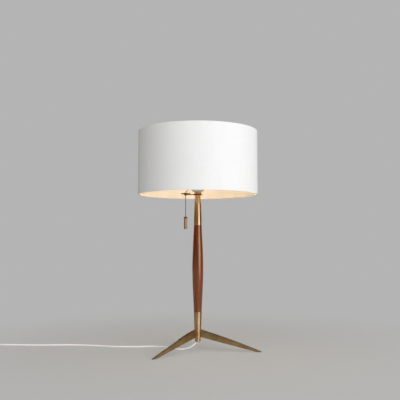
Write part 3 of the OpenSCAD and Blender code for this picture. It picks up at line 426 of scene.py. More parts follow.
# mains cord: down from the hub, over the floor to the left, then the stored coil; lengthM is in metres
cord = {"diameter": 5.0, "lengthM": 1.79, "exit": (-3.3, 0, 28), "lieZ": 2.6, "coilAt": (-700.0, 50.0),
        "coilMidR": 30.0, "pitch": 5.7, "turns": 5.25, "coilZ": 3.5, "layer": 5.6, "perTurn": 24,
        "tailL": 50.0, "plugZ": 6.6, "coilStart": (-680, 3.2),
        "down": [(-9, 0, 20), (-17, 0, 13.5), (-28, 1, 7.5), (-40, 2.5, 4)],
        "along": [(-55, 5), (-72, 12), (-89, 26), (-106, 41), (-127, 52), (-154, 55), (-192, 49),
                  (-230, 48), (-267, 51), (-325, 66), (-373, 76), (-422, 81), (-482, 79), (-545, 78),
                  (-600, 82), (-645, 86)]}
coilX, coilY = cord["coilAt"]
coilOutR = cord["coilMidR"] + cord["pitch"] * cord["turns"] / 4
tailX, tailY = coilX - coilOutR, coilY - cord["tailL"]
startX, startZ = cord["coilStart"]
cordWay = [cord["exit"], *cord["down"], *[(x, y, cord["lieZ"]) for x, y in cord["along"]],
           (startX, coilY + coilOutR, startZ)]


# the coil runs inwards and then outwards again, one layer higher
def coilPoint(degrees):
    halfWay = 180 * cord["turns"]
    radius = coilOutR - cord["pitch"] * (halfWay - abs(degrees - halfWay)) / 360
    lift = min(1.0, max(0.0, (degrees - halfWay + 90) / 180))
    return (*polar(cord["coilAt"], radius, 90 + degrees), cord["coilZ"] + cord["layer"] * lift)


coilSteps = int(cord["turns"] * cord["perTurn"])
coilWay = [coilPoint(360 * i / cord["perTurn"]) for i in range(coilSteps + 1)]
tailWay = [(tailX, coilY - 6, cord["coilZ"] + cord["layer"]), (tailX, coilY - 24, 8),
           (tailX, tailY + 8, cord["plugZ"]), (tailX, tailY, cord["plugZ"])]
mainsCord = wire("mainsCord", cordWay + coilWay + tailWay, cord["diameter"] / 2, cordVinyl, "root",
                 "cord cord_coil cord_tail", steps=3, sides=5)

# the plug's relief: a taper with ribs, from the cord to the plug's body
plugTaper = {"ribs": 6, "first": 1.5, "pitch": 3.8, "startR": 2.9, "growth": 2.0, "endR": 4.9,
             "length": 25.0}
taperR, taperL = plugTaper["endR"], plugTaper["length"]
ribs = [(0, 0), (cord["diameter"] / 2, 0.0)]
for i in range(plugTaper["ribs"]):
    foot = plugTaper["first"] + i * plugTaper["pitch"]
    radius = plugTaper["startR"] + plugTaper["growth"] * i / plugTaper["ribs"]
    ribs += [(radius - 0.4, foot), (radius, foot + 0.5, 0.3), (radius + 0.1, foot + 2.2, 0.3),
             (radius - 0.3, foot + 2.6)]
ribs += [(taperR, taperL - 0.6), (taperR, taperL), (0, taperL)]
reliefShape = turned(ribs, steps=40)
turnBy(reliefShape, 90, "X")
shiftBy(reliefShape, (tailX, tailY, cord["plugZ"]))
plugRelief = addPiece("plugRelief", reliefShape, cordVinyl, "root", "plug_relief")

# the plug's body: its section at each place along it, as a share of the full size, with three grip grooves
plug = {"wide": 24.0, "thick": 13.0, "corner": 3.4,
        "sections": [(0.0, 0.50), (1.2, 0.72), (3.4, 0.88), (6.5, 0.97), (8.6, 0.985), (9.4, 0.94),
                     (10.4, 0.94), (11.2, 0.985), (12.6, 0.985), (13.4, 0.94), (14.4, 0.94), (15.2, 0.985),
                     (16.6, 0.99), (17.4, 0.945), (18.4, 0.945), (19.2, 0.995), (27.0, 1.0), (27.7, 0.985),
                     (28.0, 0.95)]}


def plugBodyShape():
    bm = bmesh.new()
    halfWide, halfThick = plug["wide"] / 2, plug["thick"] / 2
    around = [(1, 1), (-1, 1), (-1, -1), (1, -1)]
    ring = edgeRow(bm, [(x * halfWide, 0, z * halfThick) for x, z in around], True)
    roundCorners(bm, ring, plug["corner"], 6)
    face = bmesh.ops.contextual_create(bm, geom=bm.edges[:])["faces"][0]
    place, size = plug["sections"][0]
    bmesh.ops.scale(bm, vec=(size, 1, size), verts=face.verts[:])
    for nextPlace, nextSize in plug["sections"][1:]:
        face = newest(bmesh.ops.extrude_face_region(bm, geom=[face]), bmesh.types.BMFace)[0]
        bmesh.ops.translate(bm, vec=(0, place - nextPlace, 0), verts=face.verts[:])
        bmesh.ops.scale(bm, vec=(nextSize / size, 1, nextSize / size), verts=face.verts[:])
        place, size = nextPlace, nextSize
    shiftBy(bm, (tailX, tailY - taperL, cord["plugZ"]))
    return bm


plugBody = addPiece("plugBody", plugBodyShape(), cordVinyl, "root", "plug_body", sharp=48)

# a woven strap round the coil's bundle
strap = {"turn": 135.0, "width": 9.0, "low": (22.57, 0.9), "high": (39.57, 11.95), "corner": 1.6,
         "thick": 0.8, "wrapR": 40.0}


def strapShape():
    bm = bmesh.new()
    (lowR, lowZ), (highR, highZ) = strap["low"], strap["high"]
    around = [(lowR, lowZ), (highR, lowZ), (highR, highZ), (lowR, highZ)]
    ring = edgeRow(bm, [(radius, -strap["width"] / 2, height) for radius, height in around], True)
    roundCorners(bm, ring, strap["corner"], 5)
    made = bmesh.ops.extrude_edge_only(bm, edges=bm.edges[:])
    bmesh.ops.translate(bm, vec=(0, strap["width"], 0), verts=newest(made, bmesh.types.BMVert))
    bmesh.ops.recalc_face_normals(bm, faces=bm.faces)
    bmesh.ops.solidify(bm, geom=bm.faces[:], thickness=strap["thick"])
    turnBy(bm, strap["turn"], "Z")
    shiftBy(bm, (coilX, coilY, 0))
    return bm


addPiece("coilStrap", strapShape(), strapWeb, "root", "cord_tie", wrap=strap["wrapR"])

# the hub's strain relief: a taper that bends towards the cord's way out, with a groove at every fourth step
hubTaper = {"way": [(0, 0, 48.9), (0, 0, 43), (-0.4, 0, 38), (-1.5, 0, 33)], "topR": 5.0, "endR": 3.1,
            "groove": 0.9, "firstGroove": 6, "lastGroove": 26}
hubWay = smoothLine([*hubTaper["way"], cord["exit"]], 8)
hubRadii = [between(hubTaper["topR"], hubTaper["endR"], share) for share in shares(len(hubWay) - 1)]
for i in range(hubTaper["firstGroove"], hubTaper["lastGroove"] + 1, 4):
    hubRadii[i] *= hubTaper["groove"]
wire("cordRelief", hubWay, 1.0, cordVinyl, "root", "cord_relief", radii=hubRadii, steps=2)

# the two leads from the stem's top to the switch's terminals, as (distance from the axis, height)
lead = {"radius": 1.1, "way": [(1.35, 509.7), (1.4, 510.5), (2.8, 511.6), (5.5, 512.3), (9.5, 512.5),
                               (12.9, 513.4), (13.8, 515.4), (13.8, 517.2)]}
for side, way, finish, slot in ((-1, "front", blackVinyl, "phenolic"),
                                (1, "back", cordVinyl, "cord_plastic")):
    wire("lead." + way, [(0, side * out, height) for out, height in lead["way"]], lead["radius"], finish,
         "root", "lead_" + way)
print("lamp: cord, coil and plug made")

# legs: blades with a bowed upper edge, from the hub's slots to the soles on their glides
leg = {"footCircle": 201.0, "slotFloor": 7.9, "topZ": 65.4, "underZ": 41.6, "bow": 2.6, "sole": 17.0,
       "tipH": 1.2, "glideT": 1.0, "thick": 5.5, "tipThick": 4.5, "backTurn": 109.4, "edge": 0.7,
       "steps": 14, "brushSlant": 0.31}


def legShape(degrees):
    bm = bmesh.new()
    root, foot, soleZ = leg["slotFloor"], leg["footCircle"], leg["glideT"]
    upper = [(between(root, foot, share), between(leg["topZ"], soleZ + leg["tipH"], share)
              + bowed(leg["bow"], share)) for share in reversed(shares(leg["steps"]))]
    outline = [(root, leg["underZ"]), (foot - leg["sole"], soleZ), (foot, soleZ), *upper]
    face = bm.faces.new([bm.verts.new((out, -0.5, height)) for out, height in outline])
    made = bmesh.ops.extrude_face_region(bm, geom=[face])
    bmesh.ops.translate(bm, vec=(0, 1, 0), verts=newest(made, bmesh.types.BMVert))
    for vert in bm.verts:
        vert.co.y *= between(leg["thick"], leg["tipThick"], vert.co.x / foot)
    bmesh.ops.recalc_face_normals(bm, faces=bm.faces)
    corners = [edge for edge in bm.edges if len(edge.link_faces) == 2
               and edge.calc_face_angle() > math.radians(30)
               and min(vert.co.x for vert in edge.verts) > root - 1]
    bmesh.ops.bevel(bm, geom=corners, offset=leg["edge"], offset_type="OFFSET", segments=3, profile=0.5,
                    affect="EDGES", material=-1, clamp_overlap=True)
    layer = bm.loops.layers.uv.verify()
    for patch in bm.faces:
        for loop in patch.loops:
            spot = loop.vert.co
            loop[layer].uv = (spot.x * mm, (spot.z + spot.y + leg["brushSlant"] * spot.x) * mm)
    turnBy(bm, degrees, "Z")
    return bm


for i, side in enumerate(("back", "left", "right")):
    addPiece("leg." + side, legShape(leg["backTurn"] + 120 * i), legBrass, "root",
             "leg_" + side)
print("lamp: legs made")

# stem: ferrule, walnut spindle and brass neck, with a fine gap at each joint
stem = {"mouthZ": 27.6, "ferruleTop": 119.3, "spindleTop": 392.0, "neckTop": 489.0, "mouthR": 8.6,
        "jointR": 12.45, "bow": 0.45, "swell": 4.95, "fullness": 1.35, "neckTopR": 8.4, "neckShape": 1.75,
        "boreR": 5.3, "wellR": 6.7, "wellTop": 56.0, "halfGap": 0.05, "joinRound": 0.35}
boreR, jointR, joinRound = stem["boreR"], stem["jointR"], stem["joinRound"]
mouthZ, ferruleTop = stem["mouthZ"], stem["ferruleTop"] - stem["halfGap"]
spindleFoot, spindleTop = stem["ferruleTop"] + stem["halfGap"], stem["spindleTop"] - stem["halfGap"]
neckFoot, neckTop = stem["spindleTop"] + stem["halfGap"], stem["neckTop"]
ferruleSide = [(between(stem["mouthR"], jointR, share) + bowed(stem["bow"], share),
                between(mouthZ, stem["ferruleTop"], share)) for share in shares(40)[1:-1]]
spindleSide = [(jointR + stem["swell"] * math.sin(math.pi * share) ** stem["fullness"],
                between(stem["ferruleTop"], stem["spindleTop"], share)) for share in shares(72)[1:-1]]
neckSide = [(between(stem["neckTopR"], jointR, 1 - share ** stem["neckShape"]),
             between(stem["spindleTop"], neckTop, share)) for share in shares(40)[1:-1]]
ferruleProfile = [(stem["wellR"], stem["wellTop"]), (stem["wellR"], mouthZ, joinRound),
                  (stem["mouthR"], mouthZ, 0.6), *ferruleSide, (jointR, ferruleTop, joinRound),
                  (boreR, ferruleTop), (boreR, stem["wellTop"])]
spindleProfile = [(boreR, spindleFoot), (jointR, spindleFoot, 0.4), *spindleSide, (jointR, spindleTop, 0.4),
                  (boreR, spindleTop)]
neckProfile = [(boreR, neckFoot), (jointR, neckFoot, joinRound), *neckSide,
               (stem["neckTopR"], neckTop, 0.3), (boreR, neckTop)]
addPiece("lowerFerrule", turned(ferruleProfile), ferruleBrass, "root", "lower_ferrule")
addPiece("walnutSpindle", turned(spindleProfile), walnut, "root", "walnut_spindle")
addPiece("brassNeck", turned(neckProfile), stemBrass, "root", "brass_neck")
print("lamp: stem made")

# guide arm: a ring on the stem, a rod to the left, and the domed disc and eyelet for the chain
arm = {"ringR": 13.8, "ringZ": 489.0, "ringT": 3.0, "rodR": 1.4, "rodMid": -23.2, "rodL": 23.0,
       "guideX": -39.0, "bossR": 5.0, "bossFoot": 488.8, "discUnder": 493.5, "discT": 1.8, "discR": 15.2,
       "discRise": 1.5, "eyeletR": 3.45, "eyeNeckR": 3.4, "eyeBore": 2.4, "eyeFlange": 4.6, "flangeT": 0.8,
       "eyeFoot": 488.0, "eyeTop": 496.1}
guide = (arm["guideX"], 0)
ringProfile = [(boreR, 0), (arm["ringR"], 0, 0.8), (arm["ringR"], arm["ringT"], 0.8), (boreR, arm["ringT"])]
addPiece("armRing", turned(ringProfile, foot=arm["ringZ"]), brassWithPaintedShade, "root", "guide_arm")
rod = bmesh.new()
bmesh.ops.create_cone(rod, cap_ends=True, segments=28, radius1=arm["rodR"], radius2=arm["rodR"],
                      depth=arm["rodL"])
turnBy(rod, 90, "Y")
shiftBy(rod, (arm["rodMid"], 0, arm["ringZ"] + arm["ringT"] / 2))
addPiece("armRod", rod, brassWithPaintedShade, "root")
discBore, discUnder, discT = arm["eyeletR"], arm["discUnder"], arm["discT"]
bossProfile = [(discBore, arm["bossFoot"]), (arm["bossR"], arm["bossFoot"], 0.5), (arm["bossR"], discUnder),
               (discBore, discUnder)]
addPiece("armBoss", turned(bossProfile, steps=56, spot=guide), brassWithPaintedShade, "root")
dome = [(between(arm["bossR"], arm["discR"], share), -arm["discRise"] * share ** 2) for share in shares(12)]
rimR, rimZ = dome.pop()
discProfile = [(discBore, 0), *dome, (rimR, rimZ, 0.5), (rimR, rimZ + discT, 0.6),
               *[(radius, height + discT) for radius, height in reversed(dome)], (discBore, discT)]
addPiece("guideDisc", turned(discProfile, steps=72, foot=discUnder, spot=guide), brassWithPaintedShade,
         "root", "guide_disc")
eyeBore, eyeFlange, eyeNeckR = arm["eyeBore"], arm["eyeFlange"], arm["eyeNeckR"]
flangeT, eyeH = arm["flangeT"], arm["eyeTop"] - arm["eyeFoot"]
eyeletProfile = [(eyeBore, 0, 0.35), (eyeFlange, 0, 0.35), (eyeFlange, flangeT, 0.3), (eyeNeckR, flangeT),
                 (eyeNeckR, eyeH - flangeT), (eyeFlange, eyeH - flangeT, 0.3), (eyeFlange, eyeH, 0.35),
                 (eyeBore, eyeH, 0.35)]
addPiece("guideEyelet", turned(eyeletProfile, steps=48, foot=arm["eyeFoot"], spot=guide),
         stemBrass, "root", "guide_eyelet")

# pull chain: up from the eyelet to the switch's wheel and over it, and down to the pull
chain = {"beadR": 1.6, "linkR": 0.5, "pitch": 4.4, "swingZ": 486.4, "pullTop": 420.0, "beadGap": 0.3,
         "rise": 54.5245, "run": 44.3071, "wheelAt": (-8.4, 528.7), "wheelR": 6.0, "wrap": 110.0,
         "swingLink": 1.9}


def linkBetween(bm, start, end):
    way = Vector(end) - Vector(start)
    middle = (Vector(end) + Vector(start)) / 2
    aim = Matrix.Translation(middle) @ way.to_track_quat("Z", "Y").to_matrix().to_4x4()
    bmesh.ops.create_cone(bm, cap_ends=True, segments=10, radius1=chain["linkR"], radius2=chain["linkR"],
                          depth=way.length, matrix=aim)


def strung(bm, places):
    for place in places:
        bmesh.ops.create_uvsphere(bm, u_segments=16, v_segments=10, radius=chain["beadR"],
                                  matrix=Matrix.Translation(place))
    for start, end in zip(places, places[1:]):
        linkBetween(bm, start, end)


eyeX, eyeTop, swingZ, rise = arm["guideX"], arm["eyeTop"], chain["swingZ"], chain["rise"]
runBeads = round(chain["run"] / chain["pitch"])
runStops = [polar((eyeX, eyeTop), chain["run"] * share, rise) for share in shares(runBeads)[1:]]
onWheel = arc(chain["wheelAt"], chain["wheelR"], rise + 90, rise + 90 - chain["wrap"], 3)
upperWay = [(x, 0, z) for x, z in [(eyeX, (eyeTop + swingZ) / 2), (eyeX, eyeTop), *runStops, *onWheel[1:]]]
upperChain = bmesh.new()
strung(upperChain, upperWay)
linkBetween(upperChain, (eyeX, 0, swingZ + chain["swingLink"]), upperWay[0])
addPiece("upperChain", upperChain, beadNickel, "root", "upper_chain")

lastZ = chain["pullTop"] + chain["beadGap"] + chain["beadR"]
beads = round((swingZ - lastZ) / chain["pitch"])
lowerShape = bmesh.new()
strung(lowerShape, [(eyeX, 0, between(swingZ, lastZ, share)) for share in shares(beads)])
lowerChain = addPiece("lowerChain", lowerShape, beadNickel, None, "lower_chain")
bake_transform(lowerChain)

# pull: a domed cap over a slim tapered body with a groove near each end
pull = {"capR": 6.0, "capH": 6.0, "topR": 4.8, "footR": 5.3, "bodyH": 33.5, "groove": 0.35, "holeR": 0.55}
capR, capH, holeR, capFoot = pull["capR"], pull["capH"], pull["holeR"], chain["pullTop"] - pull["capH"]
capProfile = [(0, 0), (capR, 0, 0.5), (capR, 3.0, 0.7), (capR * 0.7, 4.8, 0.8), (capR * 0.4, capH, 0.4),
              (holeR, capH), (holeR, 5.0), (0, 5.0)]
addPiece("pullCap", turned(capProfile, steps=56, foot=capFoot, spot=guide), brassWithPaintedShade, "pull",
         "pull_cap")
footR, topR, bodyH, groove = pull["footR"], pull["topR"], pull["bodyH"], pull["groove"]
bodyProfile = [(0, 0), (footR - 1.6, 0), (footR - 1.3, groove), (footR, groove, 0.5),
               (footR - 0.02, 2.6, 0.2), (footR - groove, 2.9), (footR - groove, 3.4),
               (footR - 0.04, 3.7, 0.2), (topR + 0.03, 31.4, 0.2), (topR - groove, 31.8),
               (topR - groove, 32.4), (topR, 32.8, 0.2), (topR, bodyH), (0, bodyH)]
addPiece("pullBody", turned(bodyProfile, steps=56, foot=capFoot - bodyH, spot=guide), pullBrass, "pull",
         "pull_body")
print("lamp: guide arm, chain and pull made")

# socket: check ring, flared cap, beaded shell and the chain's outlet
socket = {"ringR": 11.7, "ringZ": 492.0, "ringH": 6.0, "ringGroove": 0.45, "capZ": 499.6, "capFootR": 13.4,
          "capR": 20.4, "flareH": 8.0, "rimH": 3.0, "sheet": 0.6, "shellR": 19.3, "shellZ": 507.65,
          "beadZ": 556.0, "beadOut": 0.55, "beadHalf": 1.1, "rollZ": 565.2, "rollR": 0.7}
ringR, ringH, grooveR = socket["ringR"], socket["ringH"], socket["ringR"] - socket["ringGroove"]
checkProfile = [(boreR, 0), (ringR - 0.6, 0, 0.2), (ringR, 0.7, 0.4), (ringR, 2.2, 0.2), (grooveR, 2.6),
                (grooveR, 3.2), (ringR, 3.6, 0.2), (ringR, ringH, 0.7), (boreR, ringH)]
addPiece("checkRing", turned(checkProfile, foot=socket["ringZ"]), stemBrass, "root",
         "check_ring")
narrowR, wideR, sheet = socket["capFootR"], socket["capR"], socket["sheet"]
rimTop = socket["flareH"] + socket["rimH"]
flare = [(between(narrowR, wideR, math.sin(math.radians(angle))),
          socket["flareH"] * (1 - math.cos(math.radians(angle)))) for angle in range(0, 91, 6)]
inner = [(radius - sheet, max(height, sheet)) for radius, height in flare]
flareProfile = [(boreR, 0), (narrowR, 0, 0.7), *flare[1:], (wideR, rimTop - 1.5), (wideR, rimTop, 0.3),
                (wideR - sheet, rimTop, 0.25), *reversed(inner), (boreR, sheet)]
addPiece("socketCap", turned(flareProfile, foot=socket["capZ"]), capBrassPaintedReflection, "root",
         "socket_cap")
shellR, shellZ, rollZ = socket["shellR"], socket["shellZ"], socket["rollZ"]
bead = [(shellR + socket["beadOut"] * math.sin(math.radians(angle)),
         socket["beadZ"] - socket["beadHalf"] * math.cos(math.radians(angle)))
        for angle in range(0, 181, 30)]
roll = arc((shellR - 0.1, rollZ), socket["rollR"], -60, 240, 10)
shellProfile = [(shellR - sheet, shellZ), (shellR, shellZ), *bead, *roll, (shellR - sheet, rollZ - 0.6)]
addPiece("socketShell", turned(shellProfile, steps=84), plainBrass, "root", "socket_shell")

# the outlet is turned upright and then laid along the chain's run, from the eyelet's top
outlet = {"out": 25.4448, "in": 37.2187, "mouthR": 4.2, "tubeR": 2.6, "boreR": 1.9, "mouthL": 3.0}
mouthR, mouthL, tubeL = outlet["mouthR"], outlet["mouthL"], outlet["in"] - outlet["out"]
tubeR, tubeBore = outlet["tubeR"], outlet["boreR"]
outletProfile = [(mouthR - 0.7, 0), (mouthR, 0, 0.25), (mouthR - 0.4, 1.5, 0.6), (tubeR, mouthL, 0.8),
                 (tubeR, tubeL), (tubeBore, tubeL), (tubeBore, mouthL, 0.8), (mouthR - 1.2, 1.5, 0.4)]
outletShape = turned(outletProfile, steps=40, foot=outlet["out"])
turnBy(outletShape, 90 - rise, "Y")
shiftBy(outletShape, (eyeX, 0, eyeTop))
addPiece("chainOutlet", outletShape, plainBrass, "root", "chain_outlet")
print("lamp: socket made")

# harp: one wire of four bends a side, its two sleeves, and the stud that the shade sits on
harp = {"wingY": 32.0, "foot": 518.0, "straight": 7.6, "leg": 15.2, "lowR": 40.0, "lowBend": 35.0,
        "bowR": 90.0, "topBend": 45.0, "topR": 26.0, "wireR": 1.8, "seatZ": 682.42, "seatR": 7.5,
        "seatT": 4.4, "studR": 3.3, "studH": 11.0, "threads": 29, "threadPitch": 0.35, "threadDepth": 0.25,
        "sleeveFoot": 512.1, "sleeveR": 3.4, "sleeveH": 12.0, "sleeveBore": 1.88, "sleeveWaist": 0.35}
wingY, wingZ, lowBend, topBend = harp["wingY"], harp["foot"], harp["lowBend"], harp["topBend"]
lowMid = (wingY + harp["lowR"], wingZ + harp["leg"])
elbow = polar(lowMid, harp["lowR"], 180 - lowBend)
bowMid = polar(elbow, harp["bowR"], 180 - lowBend)
shoulder = polar(bowMid, harp["bowR"], topBend)
topMid = polar(shoulder, harp["topR"], 180 + topBend)
halfHarp = [(wingY, wingZ), (wingY, wingZ + harp["straight"]),
            *arc(lowMid, harp["lowR"], 180, 180 - lowBend, 4),
            *arc(bowMid, harp["bowR"], -lowBend, topBend, 10)[1:],
            *arc(topMid, harp["topR"], topBend, 90, 4)[1:]]
harpWay = [(0, y, z) for y, z in halfHarp] + [(0, -y, z) for y, z in reversed(halfHarp)]
wire("harpWire", harpWay, harp["wireR"], brassWithPaintedShade, "root", "harp")
sleeveR, sleeveH, waistR = harp["sleeveR"], harp["sleeveH"], harp["sleeveR"] - harp["sleeveWaist"]
sleeveProfile = [(harp["sleeveBore"], 0, 0.2), (sleeveR, 0, 0.5), (sleeveR, sleeveH * 0.32, 0.1),
                 (waistR, sleeveH * 0.36), (waistR, sleeveH * 0.64), (sleeveR, sleeveH * 0.68, 0.1),
                 (sleeveR, sleeveH, 0.5), (harp["sleeveBore"], sleeveH, 0.2)]
for side, way in ((-1, "front"), (1, "back")):
    sleeve = turned(sleeveProfile, steps=40, foot=harp["sleeveFoot"], spot=(0, side * wingY))
    addPiece("sleeve." + way, sleeve, brassWithPaintedShade, "sleeve_" + way, "harp_sleeve_" + way)
seatR, seatZ, studR = harp["seatR"], harp["seatZ"], harp["studR"]
seatFoot, studTop = seatZ - harp["seatT"], seatZ + harp["studH"]
thread = [(studR - harp["threadDepth"] * (i % 2), seatZ + 0.6 + harp["threadPitch"] * i)
          for i in range(harp["threads"])]
studProfile = [(0, seatFoot), (seatR, seatFoot, 0.6), (seatR, seatZ, 0.5), (studR, seatZ), *thread,
               (studR - 0.8, studTop), (0, studTop)]
addPiece("harpStud", turned(studProfile, steps=56), stemBrass, "root", "harp_stud")

# bulb: contact, ridged base, and a glass that swells from its neck to a globe
bulb = {"contactZ": 541.8, "baseZ": 545.8, "baseR": 13.0, "baseH": 23.0, "ridges": 5, "ridgePitch": 3.2,
        "glassZ": 568.8, "neckR": 13.6, "neckH": 15.0, "globeR": 30.0, "globeH": 53.0, "lowAngle": -35.0,
        "swell": 14.0, "wall": 0.8}
contactProfile = [(0, 0), (3.0, 0, 0.6), (3.6, 0.9), (4.4, 0.9, 0.2), (9.5, 4.0, 0.3), (0, 4.0)]
addPiece("bulbContact", turned(contactProfile, steps=56, foot=bulb["contactZ"]), blackPhenolic, "bulb",
         "bulb_contact")
baseR, baseH, ridges = bulb["baseR"], bulb["baseH"], []
for i in range(bulb["ridges"]):
    foot = 3.0 + i * bulb["ridgePitch"]
    ridges += [(baseR - 0.7, foot), (baseR - 0.1, foot + 0.7), (baseR, foot + 1.2),
               (baseR - 0.1, foot + 1.8), (baseR - 0.65, foot + 2.6)]
baseProfile = [(0, 0), (9.5, 0), (12.3, 2.0, 0.8), *ridges, (12.3, 20.0), (12.8, 21.0, 0.4), (12.8, baseH),
               (0, baseH)]
addPiece("bulbBase", turned(baseProfile, foot=bulb["baseZ"]), capAluminium, "bulb",
         "bulb_base")


# a point of the smooth curve that four knots pull
def pulledPoint(knots, share):
    rest = 1 - share
    weights = (rest ** 3, 3 * share * rest ** 2, 3 * share ** 2 * rest, share ** 3)
    return tuple(sum(weight * knot[part] for weight, knot in zip(weights, knots)) for part in (0, 1))


globeMid, globeR, low, neckR = (0, bulb["globeH"]), bulb["globeR"], bulb["lowAngle"], bulb["neckR"]
neckEnd = polar(globeMid, globeR, low)
knots = [(neckR, 0), (neckR, bulb["neckH"]), polar(neckEnd, bulb["swell"], low - 90), neckEnd]
glassProfile = [(neckR - bulb["wall"], 0), *[pulledPoint(knots, share) for share in shares(12)[:-1]],
                *arc(globeMid, globeR, low, 90, 28)[:-1], (0, bulb["globeH"] + globeR)]
addPiece("bulbGlass", turned(glassProfile, foot=bulb["glassZ"]), opalGlass, "bulb",
         "bulb_glass")
print("lamp: harp and bulb made")

# shade: linen over a lining, hem tapes round both rims, and the wire hoops and spider that carry it
shade = {"r": 190.5, "top": 691.12, "foot": 489.42, "fabricT": 0.8, "gap": 0.05, "linerT": 0.5, "hemT": 0.4,
         "hemH": 8.0, "wireR": 1.3, "hoopR": 187.8, "washerZ": 682.52, "washerT": 1.6, "washerR": 12.0,
         "washerBore": 3.38, "armR": 1.4, "steps": 180,
         "armStops": [10.4, 13.0, 30.0, 70.0, 120.0, 165.0, 183.0, 186.2], "armFrom": 10.0, "armTo": 186.45}
shadeR, shadeTop, shadeFoot, steps = shade["r"], shade["top"], shade["foot"], shade["steps"]
hemT, hemGap = shade["hemT"], shade["hemT"] + shade["gap"]


def drum(outR, thick):
    foot, top = shadeFoot + hemGap, shadeTop - hemGap
    return turned([*[(outR, between(foot, top, share)) for share in shares(6)], (outR - thick, top),
                   (outR - thick, foot)], steps=steps)


cloth = addPiece("shadeFabric", drum(shadeR, shade["fabricT"]), shadeLinen, "shade",
                 "shade_fabric", wrap=shadeR)
linerR = shadeR - shade["fabricT"] - shade["gap"]
addPiece("shadeLining", drum(linerR, shade["linerT"]), shadeLining, "shade", "shade_liner")

# each hem's inner side shows the lining
hemIn, hemH = shade["hoopR"] - shade["wireR"] - shade["gap"] - hemT, shade["hemH"]
hemProfile = [(hemIn, 0, 0.35), (shadeR, 0, 0.35), (shadeR, hemT * 1.1), (hemIn + hemT, hemT),
              (hemIn + hemT, hemH), (hemIn, hemH, 0.15)]
for name, edgeZ, upward, node in (("topHem", shadeTop, -1, "top_hem"),
                                  ("bottomHem", shadeFoot, 1, "bottom_hem")):
    hem = turned(hemProfile, steps=steps)
    bmesh.ops.scale(hem, vec=(1, 1, upward), verts=hem.verts)
    shiftBy(hem, (0, 0, edgeZ))
    taped = addPiece(name, hem, hemTape, "shade", node, wrap=shadeR)
    taped.data.materials.append(shadeLining)
    for face in taped.data.polygons:
        if math.hypot(face.center.x, face.center.y) < (shadeR - shade["fabricT"] - 0.6) * mm:
            face.material_index = 1

topHoopZ, bottomHoopZ = shadeTop - hemGap - shade["wireR"], shadeFoot + hemGap + shade["wireR"]
for name, height, node in (("topHoop", topHoopZ, "top_hoop"), ("bottomHoop", bottomHoopZ, "bottom_hoop")):
    hoop = turned(arc((shade["hoopR"], height), shade["wireR"], 0, 330, 11), steps=steps)
    addPiece(name, hoop, zincSteel, "shade", node)
washerBore, washerR, washerT = shade["washerBore"], shade["washerR"], shade["washerT"]
washerProfile = [(washerBore, 0, 0.15), (washerR, 0, 0.4), (washerR, washerT, 0.4),
                 (washerBore, washerT, 0.15)]
addPiece("spiderWasher", turned(washerProfile, steps=64, foot=shade["washerZ"]), zincSteel,
         "shade", "spider")
armFoot = shade["washerZ"] + washerT / 2
slope = (topHoopZ - armFoot) / (shade["armTo"] - shade["armFrom"])
for i, angle in enumerate((90, 210, 330)):
    armWay = [(*polar((0, 0), out, angle), armFoot + slope * (out - shade["armFrom"]))
              for out in shade["armStops"]]
    wire("spiderArm." + str(i), armWay, shade["armR"], zincSteel, "shade")

# finial: a ball on a waisted foot
finial = {"z": 684.22, "footR": 7.4, "ballR": 8.0, "stemH": 7.0, "sunk": 0.85}
footR, ballR, stemH = finial["footR"], finial["ballR"], finial["stemH"]
ballZ = stemH + ballR * finial["sunk"]
knobProfile = [(washerBore, 0), (footR, 0, 0.3), (footR, 1.4, 0.3), (footR - 1, 2.4, 0.5), (4.6, 3.4, 0.6),
               (4.2, stemH - 1.6), (4.3, stemH - 1.0), *arc((0, ballZ), ballR, -57, 87, 24),
               (0, ballZ + ballR)]
addPiece("finialKnob", turned(knobProfile, steps=72, foot=finial["z"]), stemBrass, "finial",
         "finial")
print("lamp: shade and finial made")

# finishes for the CAD nodes that stay
kept = [(plainBrass, "terminal_screws centre_contact screw_shell plug_blades"),
        (zincSteel, "toothed_washer round_nut threaded_pipe cap_bushing set_screw wheel_axle"),
        (zincSteel, "return_spring"), (blackPhenolic, "switch_body chain_wheel"),
        # the saddle takes the cap's pale brass, painted light over its shaded strip
        (fibrePaper, "paper_insulator"), (capBrassPaintedReflection, "harp_saddle"), (cordVinyl, "inner_cord"),
        (clearPad, "leg_glides")]
finished = set()
for finish, names in kept:
    for name in names.split():
        nodes[name].data.materials.clear()
        nodes[name].data.materials.append(finish)
        finished.add(name)
shownNodes = {name for name, node in nodes.items() if not node.hide_render}
print("lamp: kept nodes without a finish:", sorted(shownNodes - finished))

# floor, light and background; these lengths are in metres
stage = {"floorColour": (0.62, 0.602, 0.567), "floorHalf": 9.0, "wall": 0.456, "fadeFrom": 0.2,
         "fadeTo": 1.1, "fadeLeast": 0.3, "keyPlace": (1.80, -2.14, 0.86), "keyAim": (0, 0, 0.6),
         "keySize": (2.0, 1.68), "keyPower": 33.8, "keyColour": (0.98, 1.0, 1.0), "bulbPower": 6.0,
         "bulbColour": (1.0, 0.92, 0.78), "bulbR": 0.033, "skyFrom": (0.30, -0.78, 0.53), "room": 0.15,
         "sides": 0.03, "skyStops": [(0.0, (0.0, 0.0, 0.0)), (0.53, (0.060, 0.036, 0.020)),
                                     (0.70, (0.68, 0.67, 0.66)), (1.0, (1.22, 1.23, 1.24))]}


def addLight(name, kind, power, colour, place):
    data = bpy.data.lights.new(name, kind)
    data.energy = power
    data.color = colour
    lamp = bpy.data.objects.new(name, data)
    lamp.location = place
    scene.collection.objects.link(lamp)
    return lamp


